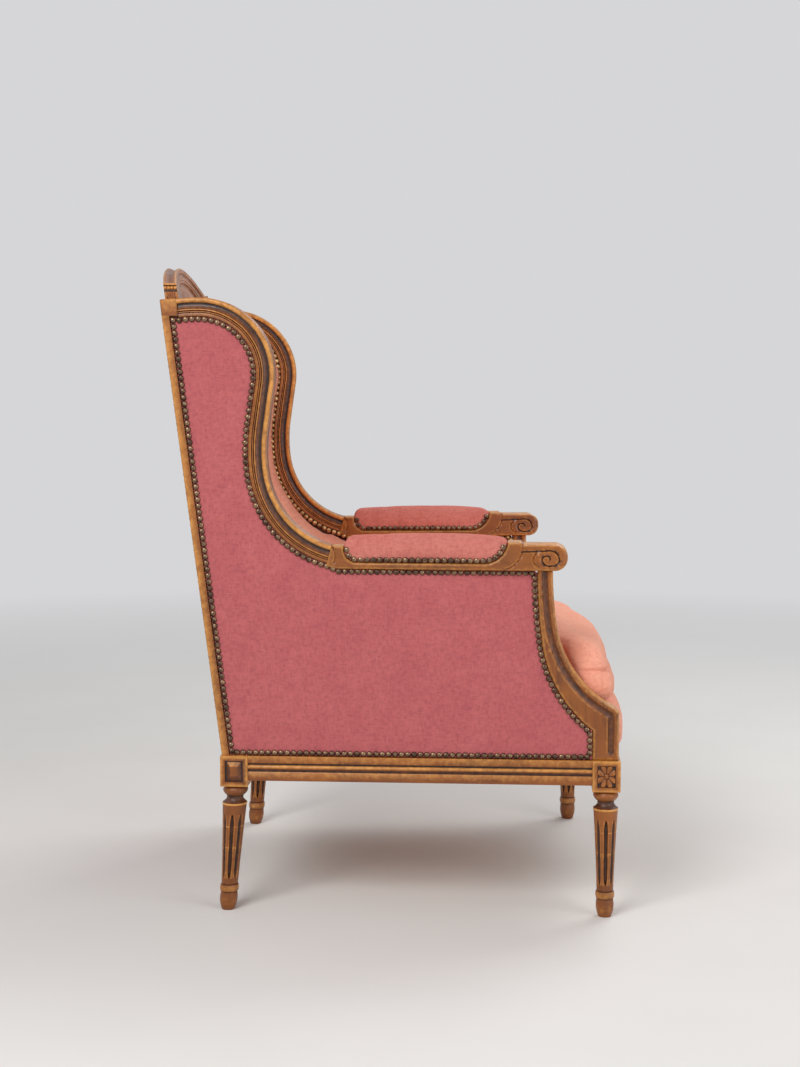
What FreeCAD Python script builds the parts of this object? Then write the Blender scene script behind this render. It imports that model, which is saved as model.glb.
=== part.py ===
"""Wing armchair: a carved, turned and fluted wooden frame, nailed covers and a loose seat cushion.

Millimetres. The sitter faces -Y, +Z is up, and the origin lies on the floor below the chair's middle.
Each side of the frame is drawn in its own upright plane: f runs forward from the front leg's axis,
z runs up, and w runs outward from the plane of the leg axes. The side that is drawn is the sitter's
left (+X). The sitter's right side is its mirror image.
"""
import FreeCAD, Part
import math
import os
from FreeCAD import Vector

# plan of the legs
front_leg_spacing = 645.0
rear_leg_spacing = 565.0
leg_run = 606.5
origin_behind_front_legs = 345.6

# square blocks where the seat rails meet the legs
block_side = 45.5
block_bottom = 211.0
block_height = 51.0
panel_margin = 6.0
panel_sink = 2.0
raised_panel_rise = 2.0
raised_panel_half_width = 5.5
raised_panel_half_height = 8.0

# turned and fluted legs
foot_radius = 11.2
bulb_radius = 14.2
bulb_height = 30.5
band_radius = 15.4
band_height = 12.6
leg_overrun = 3.2
shaft_foot_radius = 13.4
shaft_top_radius = 20.2
ring_radius = 20.9
ring_height = 4.0
ring_below_block = 29.0
neck_radius = 13.8
torus_radius = 20.6
torus_height = 16.0
torus_bevel = 4.0
flute_count = 8
flute_share = 0.52
flute_floor_share = 0.24
flute_depth = 3.2
flute_margin_top = 12.0
flute_margin_foot = 10.0
rear_leg_splay = 15.0

# seat rails
rail_drop = 41.0
rail_thickness = 26.0
rail_inset = 2.0
rail_flat = 11.5
rail_quirk = 3.2
rail_quirk_depth = 3.6
rail_bead = 8.0
rail_lower_step = 1.2
nailing_strip = 13.5
front_bow = 22.0
tenon_length = 18.0
tenon_thickness = 10.0
tenon_shoulder = 7.0
joint_gap = 0.1

# stile, the upper part of the rear post
stile_rake_deg = 7.28
back_rise = 431.6
stile_depth = 26.4
stile_width = 36.0
stile_setback = 2.5
stile_strip = 12.0
corner_block_drop = 24.0

# moulded wing frame, swept from the stile's top down to the arm
wing_thickness = 34.0
wing_face = 30.0
wing_crown_radius = 256.0
wing_crown_turn_deg = 8.65
wing_shoulder_radius = 123.0
wing_waist_radius = 256.0
wing_hollow_radius = 142.0
wing_hollow_turn_deg = 66.8
wing_foot_slope_deg = 15.4
edge_bevel = 3.0
edge_bead = 8.5
edge_groove = 2.5
edge_groove_depth = 5.5
cove_width = 9.0
band_level = 3.2

# nailed covers lie on beds sunk in the frame
bed_half = 9.0
bed_width = 14.0
cover_thickness = 4.5
cover_clearance = 0.5

# armrest
arm_rise = 309.0
arm_scroll_radius = 21.1
arm_front = -65.0
arm_half_width = 27.0
arm_rear_half_width = 18.0
arm_band = 10.3
collar_rear = -446.3
collar_rear_rise = 37.8
collar_rear_length = 19.5
collar_front = -140.3
collar_front_length = 21.0
collar_front_rise = 3.0
pad_rear_curve = 21.0
pad_front_curve = 37.0
pad_front_bend_reach = 0.40
pad_front_bend_rise = 0.24

# arm support, from the armrest down to the front block
support_thickness = 34.0
support_top_front = -88.7
support_top_depth = 25.0
support_nose = 12.5
support_nose_rise = 85.8
support_face = 19.7
support_front_turn_deg = 9.25
support_front_slope_deg = 28.0
support_rear_turn_deg = 7.97
support_rear_slope_deg = 37.5
support_rear_rise = 48.3
support_groove_half_width = 4.9
support_groove_depth = 3.0
support_groove_inset = 13.5
support_groove_stop = 13.0

# curved top rail with its arched crest
top_rail_height = 46.0
back_bow = 16.5
back_bow_foot = 1.0
crest_half_span = 235.0
crest_end_width = 23.0
crest_end_rise = 31.0
crest_rise = 68.0
crest_band = 17.0
crest_relief = 5.0

# hidden rails, glue blocks and loose tenons
lower_rail_height = 40.0
lower_rail_rise = 30.0
tack_rail_height = 26.0
tack_rail_thickness = 18.0
glue_block_leg = 62.0
glue_block_height = 34.0
slip_length = 44.0
slip_width = 9.0

# webbing and stuffing
strap_width = 62.0
strap_thickness = 1.6
strap_count = 5
back_strap_count = 3
strap_lap = 12.0
deck_stuffing = 60.3
roll_depth = 70.0
roll_bulge = 6.0
back_pad_thickness = 52.0
back_pad_crown = 26.0
side_pad_thickness = 24.0
side_pad_crown = 12.0
arm_pad_height = 49.0
arm_pad_inset = 3.0
pad_clearance = 1.0

# loose seat cushion
cushion_gap = 0.4
cushion_front = 34.5
cushion_back_clearance = 3.0
cushion_side_clearance = 2.0
cushion_bow = 14.0
cushion_boxing = 50.0
cushion_crown = 84.0
cushion_corner = 46.0
cushion_draw_in = 4.0
cushion_dome_turn_deg = 78.0
cushion_dome_reach = 215.0
cushion_dome_levels = 4

toe = math.atan2((front_leg_spacing - rear_leg_spacing) / 2, leg_run)
rake = math.radians(stile_rake_deg)
side_run = math.hypot(leg_run, (front_leg_spacing - rear_leg_spacing) / 2)
block_top = block_bottom + block_height
rail_bottom = block_top - rail_drop
rail_outer = block_side / 2 - rail_inset
seat_base = block_top + nailing_strip
deck_bottom = seat_base + 2 * strap_thickness
deck_top = deck_bottom + deck_stuffing
lower_rail_bottom = block_top + lower_rail_rise
support_nose_height = block_top + support_nose_rise
support_rear_foot = block_top + support_rear_rise
arm_underside = block_top + arm_rise
collar_rear_top = arm_underside + collar_rear_rise
stile_top = arm_underside + back_rise
cover_outer = bed_half + cover_thickness
arm_top = arm_underside + 2 * arm_scroll_radius
top_rail_foot = stile_top - top_rail_height
back_strap_foot = lower_rail_bottom + lower_rail_height / 3
back_strap_top = top_rail_foot + strap_lap
quarter_bend = 1 - math.sqrt(0.5)
beyond = 2 * stile_top


def at(f, z, w=0.0):
    """A point of the drawn side: forward, up and outward."""
    return Vector(w, -f, z)


def beside(point, heading, n):
    """The point n to the right of a heading in the side's plane."""
    return (point[0] + n * math.sin(heading), point[1] - n * math.cos(heading))


def ahead(point, heading, length):
    """The point a length further on along a heading."""
    return (point[0] + length * math.cos(heading), point[1] + length * math.sin(heading))


class Straight:
    """A straight length of a run in the side's plane."""

    def __init__(self, start, heading, length):
        self.start = start
        self.heading = heading
        self.length = length
        self.end = ahead(start, heading, length)
        self.end_heading = heading

    def offset(self, n):
        return Straight(beside(self.start, self.heading, n), self.heading, self.length)

    def edge(self, w):
        return Part.LineSegment(at(*self.start, w), at(*self.end, w)).toShape()

    def sweep(self, section):
        return section(self.start, self.heading).extrude(at(*self.end) - at(*self.start))


class Turn:
    """An arc of a run, to the left for a positive angle and to the right for a negative one."""

    def __init__(self, start, heading, radius, angle):
        self.start = start
        self.heading = heading
        self.radius = radius
        self.angle = angle
        self.side = math.copysign(1.0, angle)
        self.centre = beside(start, heading, -self.side * radius)
        self.end = self.point(1.0)
        self.end_heading = heading + angle

    def point(self, share):
        return beside(self.centre, self.heading + self.angle * share, self.side * self.radius)

    def offset(self, n):
        start = beside(self.start, self.heading, n)
        return Turn(start, self.heading, self.radius + self.side * n, self.angle)

    def edge(self, w):
        points = [at(*self.point(share), w) for share in (0.0, 0.5, 1.0)]
        return Part.Arc(*points).toShape()

    def sweep(self, section):
        face = section(self.start, self.heading)
        return face.revolve(at(*self.centre), Vector(-1, 0, 0), math.degrees(self.angle))


def edges_through(steps, put):
    """Edges through 2D steps: a plain point ends a line, a (middle, end) pair ends an arc."""
    edges = []
    here = put(*steps[0])
    for step in steps[1:]:
        if isinstance(step[0], tuple):
            there = put(*step[1])
            edges.append(Part.Arc(here, put(*step[0]), there).toShape())
        else:
            there = put(*step)
            edges.append(Part.LineSegment(here, there).toShape())
        here = there
    return edges


def face_of(edges):
    """A flat face inside edges given in any order."""
    return Part.Face(Part.Wire(Part.__sortEdges__(edges)))


def side_plate(edges, low, high):
    """A plate of the side's outline between two distances outward, for edges drawn at w = 0."""
    face = face_of(edges)
    face.translate(Vector(low, 0, 0))
    return face.extrude(Vector(high - low, 0, 0))


def side_box(f0, f1, z0, z1, w0, w1):
    """An upright box in the side's own directions."""
    return Part.makeBox(w1 - w0, f1 - f0, z1 - z0, Vector(w0, -f1, z0))


def one_solid(shape):
    """The largest solid of a cut shape."""
    return max(shape.Solids, key=lambda solid: solid.Volume)


def place(shape):
    """Carries a shape from the drawn side's plane to its place on the chair's left."""
    placed = shape.copy()
    placed.rotate(Vector(0, 0, 0), Vector(0, 0, 1), math.degrees(toe))
    placed.translate(Vector(front_leg_spacing / 2, -origin_behind_front_legs, 0))
    return placed


def mirrored(shape):
    """The sitter's right-hand twin of a shape."""
    return shape.mirror(Vector(0, 0, 0), Vector(1, 0, 0))


def both(shape):
    """A shape of the drawn side in both its places on the chair."""
    left = place(shape)
    return [left, mirrored(left)]


def outward_of(w, f0=-beyond, f1=beyond):
    """Cutting tools for all that lies outward of a distance from either side's plane."""
    return both(side_box(f0, f1, -beyond, beyond, w, beyond))


def chair_y(f):
    """Where a point of the middle plane lies for a forward distance from the front leg axes."""
    return -f - origin_behind_front_legs


def chair_place(f, w=0.0):
    """Chair x and y of a point of the drawn side."""
    x = front_leg_spacing / 2 + w * math.cos(toe) + f * math.sin(toe)
    y = w * math.sin(toe) - f * math.cos(toe) - origin_behind_front_legs
    return x, y


def stile_rear(z):
    """The forward place of the stile's rear edge at a height."""
    foot = -side_run - block_side / 2 + stile_setback
    return foot - (z - block_top) * math.tan(rake)


def stile_front(z):
    return stile_rear(z) + stile_depth


# outline runs of the side

def inner_tangent(right_centre, right_radius, left_centre, left_radius):
    """Length and heading of the straight from a right-hand turn on to a left-hand one."""
    df = left_centre[0] - right_centre[0]
    dz = left_centre[1] - right_centre[1]
    reach = right_radius + left_radius
    length = math.sqrt(df * df + dz * dz - reach * reach)
    return length, math.atan2(dz, df) - math.atan2(reach, length)


def wing_run():
    """The free edge of the wing: crown, shoulder, a straight, waist and the hollow above the arm."""
    start = (stile_front(stile_top), stile_top + stile_depth * math.tan(rake))
    crown = Turn(start, rake, wing_crown_radius, -math.radians(wing_crown_turn_deg))
    end_heading = -math.radians(wing_foot_slope_deg)
    end = (collar_rear, collar_rear_top)
    hollow_turn = math.radians(wing_hollow_turn_deg)
    hollow_back = Turn(end, end_heading + math.pi, wing_hollow_radius, -hollow_turn)
    hollow_start = hollow_back.end
    hollow_heading = end_heading - hollow_turn
    waist_centre = beside(hollow_start, hollow_heading, -wing_waist_radius)
    shoulder_centre = beside(crown.end, crown.end_heading, wing_shoulder_radius)
    length, heading = inner_tangent(
        shoulder_centre, wing_shoulder_radius, waist_centre, wing_waist_radius
    )
    shoulder = Turn(
        crown.end, crown.end_heading, wing_shoulder_radius, heading - crown.end_heading
    )
    straight = Straight(shoulder.end, heading, length)
    waist = Turn(straight.end, heading, wing_waist_radius, hollow_heading - heading)
    hollow = Turn(waist.end, hollow_heading, wing_hollow_radius, hollow_turn)
    return [crown, shoulder, straight, waist, hollow]


def two_arcs(start, heading, turn, end, end_heading):
    """Two left-hand arcs from a start to an end, the first turning by a known angle."""
    meeting = heading + turn
    first = (math.sin(meeting) - math.sin(heading), math.cos(heading) - math.cos(meeting))
    second = (math.sin(end_heading) - math.sin(meeting), math.cos(meeting) - math.cos(end_heading))
    df, dz = end[0] - start[0], end[1] - start[1]
    spread = first[0] * second[1] - first[1] * second[0]
    first_radius = (df * second[1] - dz * second[0]) / spread
    second_radius = (first[0] * dz - first[1] * df) / spread
    first_arc = Turn(start, heading, first_radius, turn)
    return [first_arc, Turn(first_arc.end, meeting, second_radius, end_heading - meeting)]


def support_front_run():
    """The front edge of the arm support, from the armrest down to its nose."""
    start = (support_top_front, arm_underside)
    end = (support_nose, support_nose_height)
    slope = -math.radians(support_front_slope_deg)
    return two_arcs(start, -math.pi / 2, math.radians(support_front_turn_deg), end, slope)


def support_rear_run():
    """The rear edge of the arm support, from the armrest down to the block's rear face."""
    start = (support_top_front - support_top_depth, arm_underside)
    end = (-block_side / 2, support_rear_foot)
    slope = -math.radians(support_rear_slope_deg)
    return two_arcs(start, -math.pi / 2, math.radians(support_rear_turn_deg), end, slope)


# legs and posts

def leg_profile():
    """Half outline of the turned leg as (radius, z) steps, from below the floor up into the block."""
    band_top = bulb_height + band_height
    ring_top = block_bottom - ring_below_block
    torus_foot = block_bottom - torus_height
    top = block_bottom + leg_overrun
    return [
        (0.0, -leg_overrun),
        (foot_radius, -leg_overrun),
        (foot_radius, 0.0),
        (bulb_radius, bulb_height),
        (band_radius, bulb_height),
        (band_radius, band_top),
        (shaft_foot_radius / 2, band_top),
        (shaft_foot_radius / 2, ring_top - ring_height),
        (shaft_top_radius, ring_top - ring_height),
        (ring_radius, ring_top - ring_height / 2),
        (shaft_top_radius, ring_top),
        (neck_radius, torus_foot),
        (torus_radius - torus_bevel, torus_foot),
        (torus_radius, torus_foot + torus_bevel),
        (torus_radius, block_bottom - torus_bevel),
        (torus_radius - torus_bevel, block_bottom),
        (torus_radius - torus_bevel, top),
        (0.0, top),
        (0.0, -leg_overrun),
    ]


def fluted_ring(radius, depth):
    """Corners of the shaft's outline at one level: lands on the radius, flutes sunk by a depth."""
    half = math.pi / flute_count
    floor = radius - depth
    corners = []
    for i in range(flute_count):
        middle = 2 * half * (i + 0.5)
        for turn, reach in (
            (-flute_share, radius),
            (-flute_floor_share, floor),
            (flute_floor_share, floor),
            (flute_share, radius),
        ):
            angle = middle + half * turn
            corners.append((reach * math.cos(angle), reach * math.sin(angle)))
    return corners


def shaft_length(z0, z1, depth):
    """A tapered length of the shaft with flutes of a depth at its top, made of flat faces."""
    foot = bulb_height + band_height
    top = block_bottom - ring_below_block - ring_height
    rings = []
    for z in (z0, z1):
        radius = shaft_foot_radius + (shaft_top_radius - shaft_foot_radius) * (z - foot) / (top - foot)
        ring = fluted_ring(radius, depth * radius / shaft_top_radius)
        rings.append([Vector(x, y, z) for x, y in ring])
    low, high = rings
    faces = [Part.Face(Part.makePolygon([*ring, ring[0]])) for ring in rings]
    for i in range(len(low)):
        j = (i + 1) % len(low)
        faces.append(Part.Face(Part.makePolygon([low[i], low[j], high[j], high[i], low[i]])))
    return Part.makeSolid(Part.makeShell(faces))


def turned_leg():
    """The turned leg on the z axis: turning below and above, and the fluted shaft between."""
    edges = edges_through(leg_profile(), lambda r, z: Vector(r, 0, z))
    turning = face_of(edges).revolve(Vector(0, 0, 0), Vector(0, 0, 1), 360)
    foot = bulb_height + band_height
    head = block_bottom - ring_below_block - ring_height
    flat = shaft_top_radius * (1 - math.cos(math.pi / flute_count * flute_share))
    lengths = [
        shaft_length(foot, foot + flute_margin_foot, flat),
        shaft_length(foot + flute_margin_foot, head - flute_margin_top, flute_depth),
        shaft_length(head - flute_margin_top, head, flat),
    ]
    return one_solid(turning.fuse(lengths))


def above_floor(shape):
    """What is left of a foot above the floor."""
    reach = block_side * 4
    centre = shape.CenterOfMass
    low = Vector(centre.x - reach / 2, centre.y - reach / 2, -reach)
    return one_solid(shape.cut(Part.makeBox(reach, reach, reach, low)))


def block(f):
    """The square block of a leg whose axis stands at f."""
    half = block_side / 2
    return side_box(f - half, f + half, block_bottom, block_top, -half, half)


def sunk_square(f):
    """The shallow square panel cut into the outer face of the block at f."""
    half = block_side / 2 - panel_margin
    middle = (block_bottom + block_top) / 2
    outer = block_side / 2
    return side_box(f - half, f + half, middle - half, middle + half, outer - panel_sink, outer + 1)


def raised_panel(f):
    """The raised panel with sloping sides that fills the sunk square of the rear block."""
    foot = block_side / 2 - 2 * panel_margin
    middle = (block_bottom + block_top) / 2
    floor = block_side / 2 - panel_sink
    rings = []
    for across, up, rise in (
        (foot, foot, 0.0),
        (raised_panel_half_width, raised_panel_half_height, raised_panel_rise),
    ):
        corners = [(-across, -up), (across, -up), (across, up), (-across, up)]
        rings.append([at(f + a, middle + b, floor + rise) for a, b in corners])
    low, high = rings
    faces = [Part.Face(Part.makePolygon([*ring, ring[0]])) for ring in rings]
    for i in range(len(low)):
        j = (i + 1) % len(low)
        faces.append(Part.Face(Part.makePolygon([low[i], low[j], high[j], high[i], low[i]])))
    return Part.makeSolid(Part.makeShell(faces))


def quarter_turned(shape):
    """A shape of the outer face turned round the front leg's axis to the front face."""
    turned = shape.copy()
    turned.rotate(Vector(0, 0, 0), Vector(0, 0, 1), -90)
    return turned


def side_tenon(f, direction, gap=0.0):
    """A side rail's tenon, from a block face at f into the block."""
    reach = tenon_length + gap * 5
    w = rail_outer - rail_thickness / 2
    half = tenon_thickness / 2 + gap
    f0, f1 = sorted((f, f + direction * reach))
    low = rail_bottom + tenon_shoulder - gap
    high = block_top - tenon_shoulder + gap
    return side_box(f0, f1, low, high, w - half, w + half)


def cross_tenon(f, gap=0.0):
    """A front or back rail's tenon, from a block's inner face outward."""
    half = tenon_thickness / 2 + gap
    low = rail_bottom + tenon_shoulder - gap
    high = block_top - tenon_shoulder + gap
    inner = -block_side / 2
    return side_box(f - half, f + half, low, high, inner - gap, inner + tenon_length + gap * 5)


def front_tenon_f():
    return block_side / 2 - rail_inset - rail_thickness / 2


def back_tenon_f():
    return -side_run - block_side / 2 + rail_inset + rail_thickness / 2


def slip(point, heading, gap=0.0):
    """A square loose tenon centred on a joint of the side frame, along a heading."""
    reach = slip_length / 2 + gap * 5
    half = slip_width / 2 + gap
    start = ahead(point, heading, -reach)
    end = ahead(point, heading, reach)
    corners = [
        beside(start, heading, half),
        beside(end, heading, half),
        beside(end, heading, -half),
        beside(start, heading, -half),
    ]
    return side_plate(edges_through([*corners, corners[0]], at), -half, half)


def side_slips(gap=0.0):
    """Loose tenons of one side: wing to arm, support to arm, and support to front block."""
    hollow = wing_run()[-1]
    joint = beside(hollow.end, hollow.end_heading, wing_face / 2)
    middle_top = support_top_front - support_top_depth / 2
    return [
        slip(joint, hollow.end_heading, gap),
        slip((middle_top, arm_underside), math.pi / 2, gap),
        slip((0.0, block_top), math.pi / 2, gap),
    ]


def front_leg():
    """Front leg and its block, with sunk squares on the side and the front."""
    leg = turned_leg()
    leg = above_floor(leg).fuse(block(0.0))
    square = sunk_square(0.0)
    mortises = [side_tenon(-block_side / 2, 1, joint_gap), cross_tenon(front_tenon_f(), joint_gap)]
    mortises += side_slips(joint_gap)
    return one_solid(leg.cut([square, quarter_turned(square), *mortises]))


def stile():
    """The raked upper part of the rear post, sunk on its outer face to bed the cover."""
    z0 = block_top - block_height / 2
    top_slope = stile_depth * math.tan(rake)
    outline = [
        (stile_rear(z0), z0),
        (stile_rear(stile_top), stile_top),
        (stile_front(stile_top), stile_top + top_slope),
        (stile_front(z0), z0),
        (stile_rear(z0), z0),
    ]
    half = stile_width / 2
    body = side_plate(edges_through(outline, at), -half, half)
    bed_top = stile_top - corner_block_drop
    bed = [
        (stile_rear(block_top) + stile_strip, block_top),
        (stile_rear(bed_top) + stile_strip, bed_top),
        (stile_front(bed_top) + 1, bed_top + top_slope),
        (stile_front(block_top) + 1, block_top),
        (stile_rear(block_top) + stile_strip, block_top),
    ]
    return body.cut([side_plate(edges_through(bed, at), bed_half, half + 1), rear_bed()])


def rear_leg_turning():
    """The rear leg's turning, splayed backward below the block."""
    leg = turned_leg()
    leg.translate(at(-side_run, 0))
    splay = math.degrees(math.atan2(rear_leg_splay, block_bottom))
    leg.rotate(at(-side_run, block_bottom), Vector(1, 0, 0), splay)
    return above_floor(leg)


def rear_post():
    """Rear leg, block and raked stile in one piece of wood."""
    post = rear_leg_turning().fuse([block(-side_run), stile()])
    mortises = [
        side_tenon(-side_run + block_side / 2, -1, joint_gap),
        cross_tenon(back_tenon_f(), joint_gap),
        wing_tenon(joint_gap),
    ]
    post = one_solid(post.cut([sunk_square(-side_run), *mortises]))
    return one_solid(post.fuse(raised_panel(-side_run)))


# seat rails

def rail_profile():
    """Moulded face of a seat rail as (outward, z) steps, from the nailing strip down."""
    face = 0.0
    floor = face - rail_quirk_depth
    z = block_top
    flat_foot = z - rail_flat
    bead_top = flat_foot - rail_quirk
    bead_foot = bead_top - rail_bead
    lower_top = bead_foot - rail_quirk
    back = -rail_thickness
    strip = bed_half - rail_outer
    return [
        (back, z + nailing_strip),
        (strip, z + nailing_strip),
        (strip, z),
        (face, z),
        (face, flat_foot),
        (floor, flat_foot),
        (floor, bead_top),
        (face, bead_top - rail_bead / 4),
        (face, bead_foot + rail_bead / 4),
        (floor, bead_foot),
        (floor, lower_top),
        (face - rail_lower_step, lower_top),
        (face - rail_lower_step, rail_bottom),
        (back, rail_bottom),
        (back, z + nailing_strip),
    ]


def side_rail():
    """A side seat rail between the two blocks, with its tenons and its nailing strip."""
    front = -block_side / 2
    rear = -side_run + block_side / 2
    edges = edges_through(rail_profile(), lambda out, z: at(rear, z, rail_outer + out))
    rail = face_of(edges).extrude(at(front, 0) - at(rear, 0))
    rail = rail.fuse([side_tenon(front, 1), side_tenon(rear, -1)])
    stile_foot = one_solid(stile())
    return one_solid(rail.cut(stile_foot))


def bow_radius(half_span, bow):
    return (half_span * half_span + bow * bow) / (2 * bow)


def front_half_span():
    return front_leg_spacing / 2 - block_side / 2


def front_face_y():
    """Where the bowed front rail's face meets the blocks."""
    return chair_y(block_side / 2 - rail_inset)


def bowed(edges, centre_y, half_angle_deg):
    """A section drawn in the middle plane, carried both ways round an upright axis."""
    section = face_of(edges)
    section.rotate(Vector(0, centre_y, 0), Vector(0, 0, 1), -half_angle_deg)
    return section.revolve(Vector(0, centre_y, 0), Vector(0, 0, 1), 2 * half_angle_deg)


def front_bow_frame():
    """Radius, axis place and half angle of the front rail's bow."""
    half = front_half_span()
    radius = bow_radius(half, front_bow)
    centre_y = front_face_y() - front_bow + radius
    reach = math.degrees(math.asin((half + block_side / 2) / radius))
    return radius, centre_y, reach


def front_rail():
    """The front seat rail, bowed forward between the blocks."""
    radius, centre_y, reach = front_bow_frame()
    edges = edges_through(rail_profile(), lambda out, z: Vector(0, centre_y - radius - out, z))
    rail = bowed(edges, centre_y, reach)
    blocks = both(block(0.0)) + both(one_solid(arm_support_body()))
    rail = one_solid(rail.cut(blocks + outward_of(-block_side / 2)))
    return one_solid(rail.fuse(both(cross_tenon(front_tenon_f()))))


def back_rail_outer():
    return chair_y(-leg_run - block_side / 2 + rail_inset)


def back_rail():
    """The straight seat rail between the rear blocks, rebated on top for the outer back cover."""
    outer = back_rail_outer()
    inner = outer - rail_thickness
    rebate = outer - (stile_setback - rail_inset + cover_thickness + joint_gap)
    corners = [
        (outer, rail_bottom),
        (outer, block_top),
        (rebate, block_top),
        (rebate, seat_base),
        (inner, seat_base),
        (inner, rail_bottom),
        (outer, rail_bottom),
    ]
    half = rear_leg_spacing / 2
    edges = edges_through(corners, lambda y, z: Vector(-half, y, z))
    rail = face_of(edges).extrude(Vector(2 * half, 0, 0))
    blocks = both(one_solid(block(-side_run).fuse(stile())))
    rail = one_solid(rail.cut(blocks + outward_of(-block_side / 2)))
    return one_solid(rail.fuse(both(cross_tenon(back_tenon_f()))))


# wing, arm and arm support

def wing_half_section():
    """Half of the moulded section from the free edge inward, as (inward, outward) steps."""
    face = wing_thickness / 2
    cove = edge_bead + edge_groove
    band = face - band_level
    return [
        (0.0, face - edge_bevel),
        (edge_bevel, face),
        (edge_bead, face),
        (cove, face - edge_groove_depth),
        (cove + cove_width, band),
        (wing_face, band),
        (wing_face, bed_half),
        (wing_face + bed_width, bed_half),
    ]


def wing_section(start, heading):
    """The wing frame's section as a face square to a heading."""
    half = wing_half_section()
    edges = []
    for sign in (1, -1):
        edges += edges_through(half, lambda n, w: at(*beside(start, heading, n), sign * w))
    for n, w in (half[0], half[-1]):
        point = beside(start, heading, n)
        edges.append(Part.LineSegment(at(*point, -w), at(*point, w)).toShape())
    return face_of(edges)


def wing_tenon(gap=0.0):
    """The wing frame's stub tenon into the stile, square to the rake."""
    start = wing_run()[0].start
    length = tenon_length / 2 + 5 * gap
    half = tenon_thickness / 2 + gap
    corners = []
    for n, back in ((edge_bead - gap, 0), (wing_face + gap, 0), (wing_face + gap, 1), (edge_bead - gap, 1)):
        corners.append(ahead(beside(start, rake, n), rake, -back * length))
    return side_plate(edges_through([*corners, corners[0]], at), -half, half)


def wing_frame():
    """The S-shaped wing frame, moulded alike inside and outside."""
    pieces = [leg.sweep(wing_section) for leg in wing_run()]
    frame = pieces[0].fuse([*pieces[1:], wing_tenon()])
    return one_solid(frame.cut([side_slips(joint_gap)[0], arm_nailing_tongue()]))


def arm_joint_foot(inset=0.0):
    """The lowest corner of the armrest's joint with the wing, and where its underside levels out."""
    hollow = wing_run()[-1]
    foot = beside(hollow.end, hollow.end_heading, wing_face + arm_band / 2 + inset)
    return foot, (foot[0] + 2 * arm_band, arm_underside - inset)


def pad_seat():
    """The hollow between the collars that the arm pad fills, from rear to front."""
    band_top = arm_underside + arm_band
    rear = collar_rear + collar_rear_length
    front = collar_front - collar_front_length
    rear_lip = collar_rear_top - pad_rear_curve / 3
    front_top = arm_top + collar_front_rise
    rear_bend = (
        rear + quarter_bend * pad_rear_curve,
        band_top + quarter_bend * (rear_lip - band_top),
    )
    front_bend = (
        front - pad_front_bend_reach * pad_front_curve,
        band_top + pad_front_bend_rise * (front_top - band_top),
    )
    return [
        (rear, rear_lip),
        (rear_bend, (rear + pad_rear_curve, band_top)),
        (front - pad_front_curve, band_top),
        (front_bend, (front, front_top)),
    ]


def arm_outline():
    """The armrest seen from the side, as (f, z) steps round from its joint with the wing."""
    joint_foot, level = arm_joint_foot()
    scroll = arm_front - arm_scroll_radius
    return [
        (collar_rear, collar_rear_top),
        (collar_rear + collar_rear_length, collar_rear_top),
        *pad_seat(),
        (collar_front, arm_top + collar_front_rise),
        (collar_front + collar_front_rise, arm_top),
        (scroll, arm_top),
        ((arm_front, arm_underside + arm_scroll_radius), (scroll, arm_underside)),
        level,
        joint_foot,
        (collar_rear, collar_rear_top),
    ]


def arm_plan():
    """The armrest seen from above, widening forward and rounded at the scroll, as (f, w) steps."""
    rear = collar_rear - block_side
    front = collar_front - collar_front_length
    nose = arm_front
    corner = arm_half_width / 3
    steps = [(rear, arm_rear_half_width), (collar_rear + collar_rear_length, arm_rear_half_width)]
    steps += [(front, arm_half_width), (nose - corner, arm_half_width)]
    bend = corner * quarter_bend
    steps.append(((nose - bend, arm_half_width - bend), (nose, arm_half_width - corner)))
    return steps


def arm_plan_prism():
    """An upright prism over the armrest's plan."""
    steps = arm_plan()
    low = arm_underside - arm_scroll_radius
    edges = []
    for sign in (1, -1):
        edges += edges_through(steps, lambda f, w: at(f, low, sign * w))
    for f, w in (steps[0], steps[-1][1]):
        edges.append(Part.LineSegment(at(f, low, -w), at(f, low, w)).toShape())
    return face_of(edges).extrude(Vector(0, 0, arm_top - low + arm_band * 2))


def arm_nailing_tongue():
    """The strip under the arm that the covers are nailed to."""
    rear = wing_run()[-1]
    start = beside(rear.end, rear.end_heading, wing_face + bed_width)[0]
    low = arm_underside - bed_width
    return side_box(start, support_top_front, low, arm_underside, -bed_half, bed_half)


def armrest():
    """The armrest with its carved collars and scrolled end."""
    body = side_plate(edges_through(arm_outline(), at), -arm_half_width, arm_half_width)
    body = body.common(arm_plan_prism())
    body = body.fuse(arm_nailing_tongue())
    return one_solid(body.cut([*side_slips(joint_gap), arm_support_body()]))


def arm_support_body():
    """The sweeping arm support without its grooves and mortises."""
    front = support_front_run()
    rear = support_rear_run()
    nose = (support_face, support_nose_height - (support_face - support_nose))
    foot = -block_side / 2
    edges = [leg.edge(0.0) for leg in front + rear]
    closing = [front[-1].end, nose, (support_face, block_top), (foot, block_top), rear[-1].end]
    edges += edges_through(closing, at)
    edges += edges_through([front[0].start, rear[0].start], at)
    half = support_thickness / 2
    body = side_plate(edges, -half, half)
    return body.fuse(support_tongue())


def support_tongue():
    """The strip behind the arm support that the covers are nailed to."""
    rear = support_rear_run()
    shift = at(-bed_width * 0.8, -bed_width * 0.6)
    near = [leg.edge(0.0) for leg in rear]
    far = []
    for edge in near:
        moved = edge.copy()
        moved.translate(shift)
        far.append(moved)
    tops = [at(*rear[0].start), at(*rear[0].start) + shift]
    ends = [at(*rear[-1].end), at(*rear[-1].end) + shift]
    joining = [Part.LineSegment(*tops).toShape(), Part.LineSegment(*ends).toShape()]
    curved = side_plate(near + far + joining, -bed_half, bed_half)
    foot = -block_side / 2
    drop = rear[-1].end[1]
    upright = side_box(foot - bed_width * 0.8, foot, seat_base, drop, -bed_half, bed_half)
    return curved.fuse(upright)


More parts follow.
